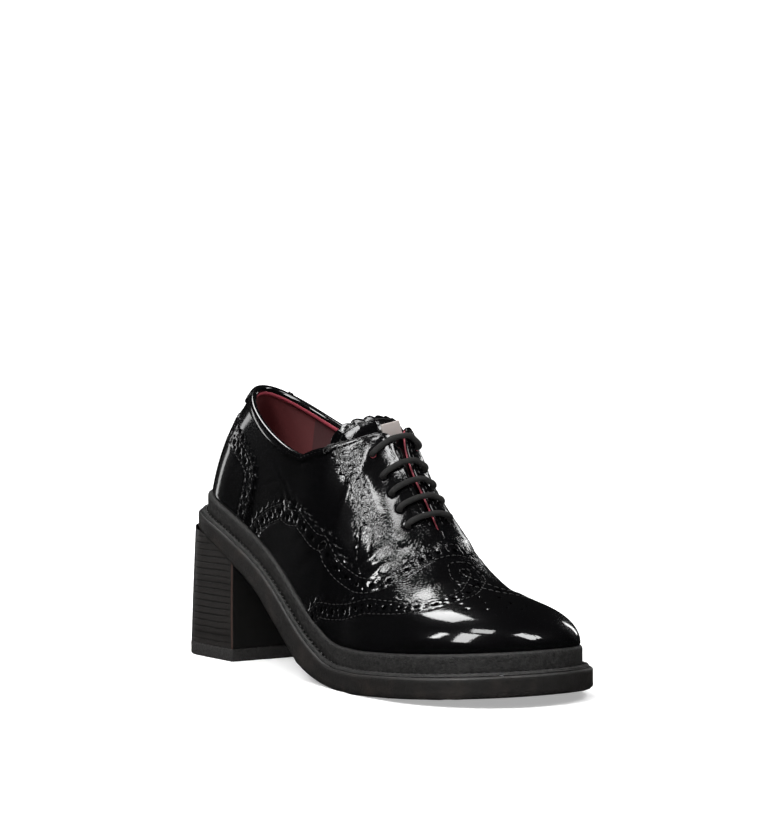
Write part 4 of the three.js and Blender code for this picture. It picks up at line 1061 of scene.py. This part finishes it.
def tube(name, path, radius, material, sides=20, flat=1.0):
    """A closed tube with its length and turn stored as a UV map."""
    tangents = np.gradient(path, axis=0)
    tangents /= np.linalg.norm(tangents, axis=1, keepdims=True)
    up = np.array([0, 0, 1.0])
    across = np.cross(tangents, up)
    across /= np.linalg.norm(across, axis=1, keepdims=True)
    above = np.cross(across, tangents)
    angle = np.arange(sides) * 2 * np.pi / sides
    ring = (across[:, None] * np.cos(angle)[None, :, None] + above[:, None] * np.sin(angle)[None, :, None] * flat)
    points = path[:, None] + radius * ring
    piece = grid_piece(name, points, material, closed=True)
    run = np.concatenate([[0], np.cumsum(np.linalg.norm(np.diff(path, axis=0), axis=1))])
    layer = piece.data.uv_layers.new(name="along and round")
    values = np.zeros((len(piece.data.loops), 2))
    for face in piece.data.polygons:
        ring_of = face.vertices[0] % sides
        for loop in face.loop_indices:
            vertex = piece.data.loops[loop].vertex_index
            turn = (vertex % sides) / sides
            if ring_of == sides - 1 and vertex % sides == 0:
                turn = 1.0
            values[loop] = run[vertex // sides] / (2 * np.pi * radius), turn
    layer.data.foreach_set("uv", values.ravel())
    return piece


# %% Braid of the lace
tree, shader, relief, uneven, where = parts_of(cotton)
uv = tree.nodes.new("ShaderNodeUVMap")
uv.uv_map = "along and round"
split = tree.nodes.new("ShaderNodeSeparateXYZ")
join(tree, uv.outputs["UV"], split.inputs[0])
strands = []
for sign in (1, -1):
    slant = math_node(tree, "ADD", math_node(tree, "MULTIPLY", split.outputs[0], 30 * sign),
                      math_node(tree, "MULTIPLY", split.outputs[1], 12 * math.pi))
    strands.append(math_node(tree, "ABSOLUTE", math_node(tree, "SINE", slant)))
braid = math_node(tree, "MAXIMUM", *strands)
weave = tree.nodes.new("ShaderNodeBump")
weave.inputs["Strength"].default_value = 1.0
weave.inputs["Distance"].default_value = .0004
join(tree, braid, weave.inputs["Height"])
join(tree, relief.outputs["Normal"], weave.inputs["Normal"])
join(tree, weave.outputs["Normal"], shader.inputs["Normal"])
# The braid's crests are painted lighter and its grooves darker: painted highlight and painted shade on the strands,
# over the bump
two_tone(tree, shader, braid, (.005, .005, .005), (.020, .0195, .019))
print("braid:", cotton.name)

# %% Lace bars
LACE_RADIUS, LACE_LIFT = 1.45, .15
laces = []
for number, share in enumerate(EYELETS):
    points = []
    for side in (-1, 1):
        hole = eyelet_across(side, share)
        spots = hole * (1 - np.array([0, 0, .14, .5, .95]))
        lifts = [-2.2, LACE_RADIUS - .7, LACE_RADIUS + LACE_LIFT, LACE_RADIUS + LACE_LIFT, LACE_RADIUS + LACE_LIFT]
        out = directions(np.full(5, share), spots)[2]
        half = place(np.full(5, share), spots, LOWER) + out * np.array(lifts)[:, None]
        points.append(half if side < 0 else half[::-1])
    path = smooth_path(np.concatenate(points), 70)
    laces.append(tube(f"lace_{number + 1}", path, LACE_RADIUS, cotton, flat=.9))
print("laces:", len(laces), "bars")

# %% [markdown]
# Inside four eyelets the shade of the hole is painted, as a dark matte ring under its rim, and
# in the top one the rose lining shows. A flat ring under each hole's rim is enough for that.

# %% Eyelet rings
rings = []
for number, share in enumerate(EYELETS):
    for side in (-1, 1):
        centre = eyelet_across(side, share)
        loops = [circle_on_leather(share, centre, radius, 20) for radius in (EYELET_RADIUS + .5, .4)]
        points = np.stack([place(loop[:, 0], loop[:, 1], .14) for loop in loops])
        # In four eyelets the dark matte ring is painted shade inside the hole; in the top one the rose ring is the
        # lining's own colour
        rings.append(grid_piece("eyelet ring", points, lining_edge if number == 0 else eyelet_hole_shade, closed=True))
eyelet_rings = joined("eyelet_rings", rings)
print("eyelet rings:", len(rings))

# %% [markdown]
# The sole is built in strips that follow one outline: a thick rubber sole, a narrow welt
# with a stitched groove, and an upright rubber rand that covers the foot of the leather.
# Each strip is a loft of the same outline drawn in by different amounts.

# %% The outline, evenly walked
dense = (1 - np.cos(np.linspace(0, math.pi, 6000))) / 2
walked = np.concatenate([np.stack([np.full(6000, -1.0), dense], 1), np.stack([np.full(6000, 1.0), dense[::-1]], 1)])
spots = np.stack(outline(walked[:, 0], walked[:, 1], 0), -1)
run = np.concatenate([[0], np.cumsum(np.linalg.norm(np.diff(spots, axis=0), axis=1))])
steps = np.linspace(0, run[-1], 521)[:-1]
nearest = np.searchsorted(run, steps)
RIM_SIDE, RIM_SHARE = walked[nearest, 0], np.interp(steps, run, walked[:, 1])
print("outline length, mm:", round(run[-1], 1))


def rail(inset, height, roughness=0.0, seed=0):
    """The outline drawn in by inset; height is a rise above the welt's top, or a function of x."""
    x, y = outline(RIM_SIDE, RIM_SHARE, inset)
    z = height(x) if callable(height) else welt_top(x) + height
    if roughness:
        noise = np.random.default_rng(seed).normal(size=(2, len(x)))
        for _ in range(2):
            noise = (noise + np.roll(noise, 1, 1) + np.roll(noise, -1, 1)) / 3
        x, y, z = x + noise[0] * roughness, y + noise[0] * roughness * .5, z + noise[1] * roughness
    return np.stack([x, y, z], -1) + SHIFT


def sheet_across(inset, height, material, flip, columns=25, rows=150):
    """A sheet from the lateral to the medial side, for the tops and bottoms."""
    shares = (1 - np.cos(np.linspace(0, math.pi, rows))) / 2
    x, low = outline(-1, shares, inset)
    high = outline(1, shares, inset)[1]
    t = np.linspace(0, 1, columns)
    y = low[:, None] + (high - low)[:, None] * t
    grid = np.stack(np.broadcast_arrays(x[:, None], y, height(x)[:, None]), -1)
    return grid_piece("sheet", grid + SHIFT, material, flip=flip)


# %% Outsole, welt and rand
def top_line(x):
    return welt_top(x) - WELT_THICKNESS - GAP


# Rows of the sole and the strips on it: how far drawn in, how high, and how rough
UNDER = [(.9, lambda x: sole_bottom(x) + .1, .22), (.25, lambda x: sole_bottom(x) + .6, .20),
         (0, lambda x: sole_bottom(x) + 1.5, .10)]
SIDE = [(0, lambda x, t=t: mix(sole_bottom(x) + 1.5, top_line(x) - .7, t), 0) for t in (.2, .4, .6, .8, 1)]
LIP = [(.12, lambda x: top_line(x) - .2, 0), (.5, lambda x: top_line(x) + .25, 0), (1.1, lambda x: top_line(x) + .5, 0)]
WELT = [(1.25, -1.15), (1.5, -.85), (1.6, -.35), (1.9, -.05), (2.3, .05), (2.75, -.05), (3.1, -.4), (3.35, -.75),
        (4.6, -.8)]
outsole_rails = np.stack([rail(inset, height, rough, number)
                          for number, (inset, height, rough) in enumerate(UNDER + SIDE + LIP)])
outsole = joined("outsole_rubber", [grid_piece("outsole side", outsole_rails, sole_rubber, closed=True),
                                    sheet_across(.9, sole_bottom, sole_rubber, True)])
welt = grid_piece("stitched_welt", np.stack([rail(*row) for row in WELT]), rand_rubber, closed=True)
RAND = [(4.1, -.9), (3.85, -.4), (3.8, .3), (3.8, 2), (3.8, 4), (3.8, 5.8), (3.85, 6.6), (4.05, 7.2), (4.45, 7.6),
        (5.0, 7.8), (5.6, 7.85), (6.1, 7.7), (6.4, 7.2), (6.6, 5.5)]
rand = grid_piece("rand_strip", np.stack([rail(*row) for row in RAND]), rand_rubber, closed=True)
print("sole strips:", len(outsole.data.polygons), len(welt.data.polygons), len(rand.data.polygons))

# %% Sock lining inside the shoe
sock = sheet_across(UPPER_INSET + UPPER_WALL + GAP + .1, lambda x: welt_top(x) + GAP + 3, lining_leather, False)
sock.name = sock.data.name = "sock_lining"

# %% [markdown]
# The block heel is a stack of thin layers with a plain front, and a rubber lift under it.
# Its outline at each height is swept from the seat to the ground; the layers show as level
# lines in the material, because they are only hair-fine grooves.

# %% Heel block and top lift
HEEL_BACK_LEAN, HEEL_LENGTH, HEEL_HALF, HEEL_TAPER, LIFT_TOP, HEEL_CORNER = 1.5, 54, 32, 1.4, 6, .45
HEEL_TOP_INSET, HEEL_TOP_SPREAD = 3.2, 1.15


def heel_loop(height, drop, grow=0.0, corner=.9):
    """One level loop of the heel; drop is 0 at the seat and 1 at the ground."""
    back = -HEEL_BACK_LEAN * drop ** 2 - grow
    front = mix(HEEL_LENGTH - 1.5, HEEL_LENGTH, drop) + grow
    half = HEEL_HALF - HEEL_TAPER * (1 - drop) ** 2 + grow
    turn = (1 - np.cos(np.linspace(0, math.pi / 2, 60))) * HEEL_CORNER
    shares = np.concatenate([turn, np.linspace(HEEL_CORNER, 1, 26)[1:]])
    round_ = np.where(shares < HEEL_CORNER, closing((HEEL_CORNER - shares) / HEEL_CORNER, 2.3), 1)
    x = mix(back + HEEL_BACK_LEAN * (1 - drop), front, shares)
    right = np.stack([x[:-1], half * round_[:-1]], -1)
    bend = np.linspace(0, math.pi / 2, 5)
    bend = np.stack([front - corner + corner * np.sin(bend), half - corner + corner * np.cos(bend)], -1)
    breast = np.stack([np.full(12, front), np.linspace(half - corner, 0, 13)[1:]], -1)
    right = np.concatenate([right[right[:, 0] < front - corner - .2], bend, breast])
    left = right[::-1][1:-1] * [1, -1]
    loop = np.concatenate([right, left])
    z = height(loop[:, 0]) if callable(height) else np.full(len(loop), float(height))
    return np.stack([loop[:, 0], loop[:, 1], z], -1) + [SHIFT[0], SHIFT[1], 0]


levels = np.linspace(0, 1, 30)
seat = lambda x: sole_bottom(x) + 1.3
loops = []
for level in levels:
    top = heel_loop(seat, 0)
    now = heel_loop(0, 1 - level, HEEL_TOP_SPREAD * level ** 3)
    now[:, 2] = mix(LIFT_TOP + .1, top[:, 2], level)
    behind = np.clip(1 - (now[:, 0] - now[:, 0].min()) / HEEL_LENGTH, 0, 1)
    now[:, 0] += HEEL_TOP_INSET * level ** 3 * behind
    loops.append(now)
loops = np.stack(loops)
heel = grid_piece("stacked_heel_block", loops, heel_stack, closed=True, flip=True)
heel.data.materials.append(heel_breast)
heel.data.materials.append(heel_worn)
# The front is smooth, and its lateral corner is rubbed down to the brown
columns = loops.shape[1]
front = loops[0][:, 0].max()
for face in heel.data.polygons:
    spot = loops[0][[v % columns for v in face.vertices]].mean(0)
    face.material_index = 1 if spot[0] > front - .05 else 2 if spot[0] > front - .9 and spot[1] < 0 else 0
print("heel:", len(heel.data.polygons), "faces")

# %% Rough top lift
LIFT = ((0, -.9), (0, -.3), (.35, .05), (1.2, .15), (3, .15), (5, .15), (5.7, .05), (5.95, -.3), (6.0, -.8))
lift_loops = np.stack([heel_loop(height, 1, grow, .8) for height, grow in LIFT])
noise = np.random.default_rng(5).normal(size=lift_loops.shape)
noise[:, :, 2] *= np.array([0, 1, 1, 1, .3, 0, 0, 0, 0])[:, None]
noise[0] = 0
lift_loops += noise * .05
lift_loops[:, :, 2] = np.maximum(lift_loops[:, :, 2], 0)
lift = grid_piece("top_lift", lift_loops, lift_rubber, closed=True, flip=True)
under = heel_loop(0, 1, -.9, .8)
middle = under.mean(0)
middle[2] = 0
count = len(under)
under_face = new_mesh("lift under", np.concatenate([under, [middle]]),
                      [(j, (j + 1) % count, count) for j in range(count)], lift_rubber)
lift = joined("top_lift", [lift, under_face])
print("lift:", len(lift.data.polygons), "faces")

# %% [markdown]
# Stitches are the same small bead of thread thousands of times over, so Geometry Nodes puts
# one bead on every kept place, turned along its seam. The result is made a plain mesh.

# %% A node tree that sets beads of thread along the seams
stitching = bpy.data.node_groups.new("Beads of thread", "GeometryNodeTree")
stitching.interface.new_socket("Geometry", in_out="INPUT", socket_type="NodeSocketGeometry")
for label, value in (("Length", .0022), ("Thickness", .0005)):
    made = stitching.interface.new_socket(label, in_out="INPUT", socket_type="NodeSocketFloat")
    made.default_value = value
stitching.interface.new_socket("Thread", in_out="INPUT", socket_type="NodeSocketMaterial")
stitching.interface.new_socket("Geometry", in_out="OUTPUT", socket_type="NodeSocketGeometry")
given, result = stitching.nodes.new("NodeGroupInput"), stitching.nodes.new("NodeGroupOutput")
bead = stitching.nodes.new("GeometryNodeMeshUVSphere")
bead.inputs["Segments"].default_value, bead.inputs["Rings"].default_value = 6, 5
bead.inputs["Radius"].default_value = .5
size = stitching.nodes.new("ShaderNodeCombineXYZ")
place_beads = stitching.nodes.new("GeometryNodeInstanceOnPoints")
turn = stitching.nodes.new("FunctionNodeAxesToRotation")
turn.primary_axis, turn.secondary_axis = "Z", "X"
read = {}
for label in ("out", "along"):
    read[label] = stitching.nodes.new("GeometryNodeInputNamedAttribute")
    read[label].data_type = "FLOAT_VECTOR"
    read[label].inputs["Name"].default_value = label
loose = stitching.nodes.new("FunctionNodeRandomValue")
loose.data_type = "FLOAT"
loose.inputs[2].default_value, loose.inputs[3].default_value = .88, 1.1
loose.inputs["Seed"].default_value = 4
longer = stitching.nodes.new("ShaderNodeMath")
longer.operation = "MULTIPLY"
real = stitching.nodes.new("GeometryNodeRealizeInstances")
paint = stitching.nodes.new("GeometryNodeSetMaterial")
smooth = stitching.nodes.new("GeometryNodeSetShadeSmooth")
for source, target in ((given.outputs["Length"], longer.inputs[0]), (loose.outputs[1], longer.inputs[1]),
                       (longer.outputs[0], size.inputs[0]), (given.outputs["Thickness"], size.inputs[1]),
                       (given.outputs["Thickness"], size.inputs[2]),
                       (given.outputs["Geometry"], place_beads.inputs["Points"]),
                       (bead.outputs["Mesh"], place_beads.inputs["Instance"]),
                       (size.outputs[0], place_beads.inputs["Scale"]),
                       (read["out"].outputs["Attribute"], turn.inputs["Primary Axis"]),
                       (read["along"].outputs["Attribute"], turn.inputs["Secondary Axis"]),
                       (turn.outputs["Rotation"], place_beads.inputs["Rotation"]),
                       (place_beads.outputs["Instances"], real.inputs["Geometry"]),
                       (real.outputs["Geometry"], smooth.inputs["Geometry"]),
                       (smooth.outputs["Geometry"], paint.inputs["Geometry"]),
                       (given.outputs["Thread"], paint.inputs["Material"]),
                       (paint.outputs["Geometry"], result.inputs["Geometry"])):
    stitching.links.new(source, target)


def stitched(name, places, thread, length=2.2, thickness=.5):
    """Beads on the places, each (point, direction along the seam, direction out), as a plain mesh."""
    points, along_seam, out = (np.concatenate(part) for part in zip(*places))
    mesh = bpy.data.meshes.new(name + " places")
    mesh.from_pydata((points / 1000).tolist(), [], [])
    for label, values in (("along", along_seam), ("out", out)):
        layer = mesh.attributes.new(label, "FLOAT_VECTOR", "POINT")
        layer.data.foreach_set("vector", values.ravel())
    holder = bpy.data.objects.new(name, mesh)
    bpy.context.scene.collection.objects.link(holder)
    change = holder.modifiers.new("beads", "NODES")
    change.node_group = stitching
    ids = {item.name: item.identifier for item in stitching.interface.items_tree if item.in_out == "INPUT"}
    change[ids["Length"]], change[ids["Thickness"]], change[ids["Thread"]] = length / 1000, thickness / 1000, thread
    bpy.context.view_layer.update()
    made = bpy.data.meshes.new_from_object(holder.evaluated_get(bpy.context.evaluated_depsgraph_get()))
    holder.modifiers.remove(change)
    holder.data = made
    made.name = name
    return holder


# %% Stitches
places = []
for seam, raised in stitch_rows:
    points = place(seam[:, 0], seam[:, 1], raised)
    places.append((points, np.gradient(points, axis=0), directions(seam[:, 0], seam[:, 1])[2]))
stitches = stitched("seam_stitches", places, black_thread)
edge_row = on_tongue(TONGUE_START + 2.2 / LENGTH_MM, np.linspace(-.93, .93, 44), middle_depth - TONGUE_WALL / 2 - .05)
under_row = on_tongue(TONGUE_START + 3.0 / LENGTH_MM, np.linspace(-.93, .93, 44), middle_depth - TONGUE_WALL / 2 - .05)
above = np.cross(np.gradient(edge_row, axis=0), edge_row - under_row)
tongue_stitches = stitched("tongue_stitches", [(edge_row, np.gradient(edge_row, axis=0), above)], black_thread)
groove = rail(3.15, -.42)
groove = np.concatenate([groove, groove[:1]])
run = np.concatenate([[0], np.cumsum(np.linalg.norm(np.diff(groove, axis=0), axis=1))])
keep = np.stack([np.interp(np.arange(0, run[-1], 3.2), run, groove[:, axis]) for axis in range(3)], -1)
upright = np.tile([0, 0, 1.0], (len(keep), 1))
welt_stitches = stitched("welt_stitches", [(keep, np.gradient(keep, axis=0), upright)], black_thread, 2.6, 1.15)
print("beads of thread:", sum(len(p[0]) for p in places), len(stitches.data.polygons), "faces")

# %% [markdown]
# Every visible piece rides on the one body and stands for its part of the frame.

# %% What each piece stands for
STANDS_FOR = ((quarters, "patent_leather", "upper"), (lining, "lining", None), (binding, "patent_leather", None),
              (facing_edges, "lining", None), (piping, "lining", None), (toe_cap, "patent_leather", "toe_cap"),
              (vamp, "patent_leather", "vamp_overlay"), (counter, "patent_leather", "heel_counter"),
              (heel_tab, "patent_leather", "heel_tab"), (eyestays[0], "patent_leather", "eyestay_lateral"),
              (eyestays[1], "patent_leather", "eyestay_medial"), (tongue, "patent_leather", "tongue"),
              (tongue_back, "lining", None), (plate, "metal_plate", "tongue_plate"), (eyelet_rings, "lining", None),
              (outsole, "sole_rubber", "outsole"), (welt, "edge_rubber", "welt"), (rand, "edge_rubber", "rand"),
              (sock, "lining", "insole"), (heel, "stacked_heel", "heel_block"), (lift, "sole_rubber", "heel_lift"),
              (stitches, "patent_leather", None), (tongue_stitches, "patent_leather", None),
              (welt_stitches, "edge_rubber", None),
              *((lace, "cotton_lace", f"lace_bar_{number + 1}") for number, lace in enumerate(laces)))
for piece, slot, stands_for in STANDS_FOR:
    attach(piece, "root")
    if stands_for:
        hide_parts(stands_for)
print("pieces:", len(STANDS_FOR))

# %% [markdown]
# The photograph is a plain studio shot on white. A pale floor takes the soft shadow, a white
# surround closes the view behind the shoe, and each soft light is placed where the leather
# mirrors it into the same white patch as in the photograph.

# %% Floor and backdrop
def glowing(name, color, glow):
    """A matte white that also gives off a little light of its own, as an overexposed backdrop does."""
    material = bpy.data.materials.new(name)
    material.use_nodes = True
    shader = material.node_tree.nodes["Principled BSDF"]
    shader.inputs["Base Color"].default_value = (color, color, color, 1)
    shader.inputs["Roughness"].default_value = .9
    shader.inputs["Emission Color"].default_value = (1, 1, 1, 1)
    shader.inputs["Emission Strength"].default_value = glow
    return material


azimuth, elevation = math.radians(56), math.radians(1.284)
away = np.array([-math.sin(azimuth), math.cos(azimuth), 0])
aside = np.array([math.cos(azimuth), math.sin(azimuth), 0])
round_ = np.linspace(0, 2 * math.pi, 73)[:-1]
turning = np.stack([np.cos(round_), np.sin(round_), round_ * 0], -1)
paper = glowing("pale paper", .8, .5)
tree = paper.node_tree
where = tree.nodes.new("ShaderNodeTexCoord")
far = tree.nodes.new("ShaderNodeVectorMath")
far.operation = "LENGTH"
join(tree, where.outputs["Object"], far.inputs[0])
# The floor glows as painted light, weakest near the shoe and stronger outwards, so the floor is painted darker round
# the shoe
glow = tree.nodes.new("ShaderNodeMapRange")
for name, value in (("From Min", .25), ("From Max", 1.1), ("To Min", .38), ("To Max", 1.05)):
    glow.inputs[name].default_value = value
join(tree, far.outputs["Value"], glow.inputs["Value"])
join(tree, glow.outputs[0], tree.nodes["Principled BSDF"].inputs["Emission Strength"])
FLOOR_RADIUS, WALL_BEND, WALL_HEIGHT, ROOF = 3200, 900, 2400, 3600
floor = grid_piece("floor", np.stack([turning * radius for radius in (.02, 400, 900, 1800, FLOOR_RADIUS)]), paper,
                   closed=True)
wall = [(FLOOR_RADIUS, -1), *((FLOOR_RADIUS - WALL_BEND + WALL_BEND * math.cos(a),
                               WALL_HEIGHT + (ROOF - WALL_HEIGHT) * math.sin(a))
                              for a in np.linspace(0, math.pi / 2, 8)), (1, ROOF)]
surround = grid_piece("surround", np.stack([turning * radius + [0, 0, rise] for radius, rise in wall]),
                      glowing("white surround", .8, 1.0), closed=True, flip=True)
surround.visible_diffuse = surround.visible_glossy = floor.visible_glossy = False

# %% Camera at the photograph's angle
# The photograph's width and the lens's focal length in its pixels, the distance in metres
PHOTO_WIDTH, FOCAL_PIXELS, CAMERA_DISTANCE, FILM = 768, 2498, 1.103, 36
eye_back = -away * math.cos(elevation) + np.array([0, 0, math.sin(elevation)])
target = np.array([6.75, .6, 118.3]) / 1000
camera_data = bpy.data.cameras.new("camera")
camera_data.sensor_fit, camera_data.sensor_width = "HORIZONTAL", FILM
camera_data.lens = FOCAL_PIXELS / PHOTO_WIDTH * FILM
camera = bpy.data.objects.new("camera", camera_data)
bpy.context.scene.collection.objects.link(camera)
camera.location = target + eye_back * CAMERA_DISTANCE
camera.rotation_euler = Vector(eye_back).to_track_quat("Z", "Y").to_euler()
bpy.context.scene.camera = camera
camera_data.clip_end = 20
print("camera at", np.array(camera.location).round(3))


# %% Lights
def softbox(name, direction, rise, distance, width, height, power):
    """An area light round the shoe: direction in degrees from the camera's right, rise above it."""
    data = bpy.data.lights.new(name, "AREA")
    data.shape, data.size, data.size_y, data.energy = "RECTANGLE", width, height, power
    light = bpy.data.objects.new(name, data)
    bpy.context.scene.collection.objects.link(light)
    angle, up = math.radians(direction), math.radians(rise)
    aim = Vector((0, 0, .08))
    level = aside * math.cos(angle) - away * math.sin(angle)
    toward = level * math.cos(up) + np.array([0, 0, math.sin(up)])
    light.location = aim + Vector(toward) * distance
    light.rotation_euler = Vector(toward).to_track_quat("Z", "Y").to_euler()
    return light


world = bpy.data.worlds.new("studio")
bpy.context.scene.world = world
bpy.context.scene.view_settings.view_transform = "Standard"
world.use_nodes = True
world.node_tree.nodes["Background"].inputs[0].default_value = (1, 1, 1, 1)
world.node_tree.nodes["Background"].inputs[1].default_value = .006
softbox("wide fill above", 90, 80, 2.2, 2.6, 2.6, 30).visible_glossy = False
softbox("front fill", 90, 25, 2.2, 2.0, 1.4, 8).visible_glossy = False
softbox("box left", 160, 46, 1.3, .20, .42, 5)
softbox("box front", 124, 48, 1.3, .34, .85, 13)
softbox("box right", 28, 48, 1.3, .30, .66, 9)
softbox("overhead", 105, 79, 1.3, .34, .30, 3.4)
softbox("box behind", -112, 58, 1.3, .34, .46, 4.5)
softbox("rim behind left", -134, 6, 1.3, .14, .50, .5)
softbox("rim behind right", -58, 12, 1.3, .14, .45, .9)
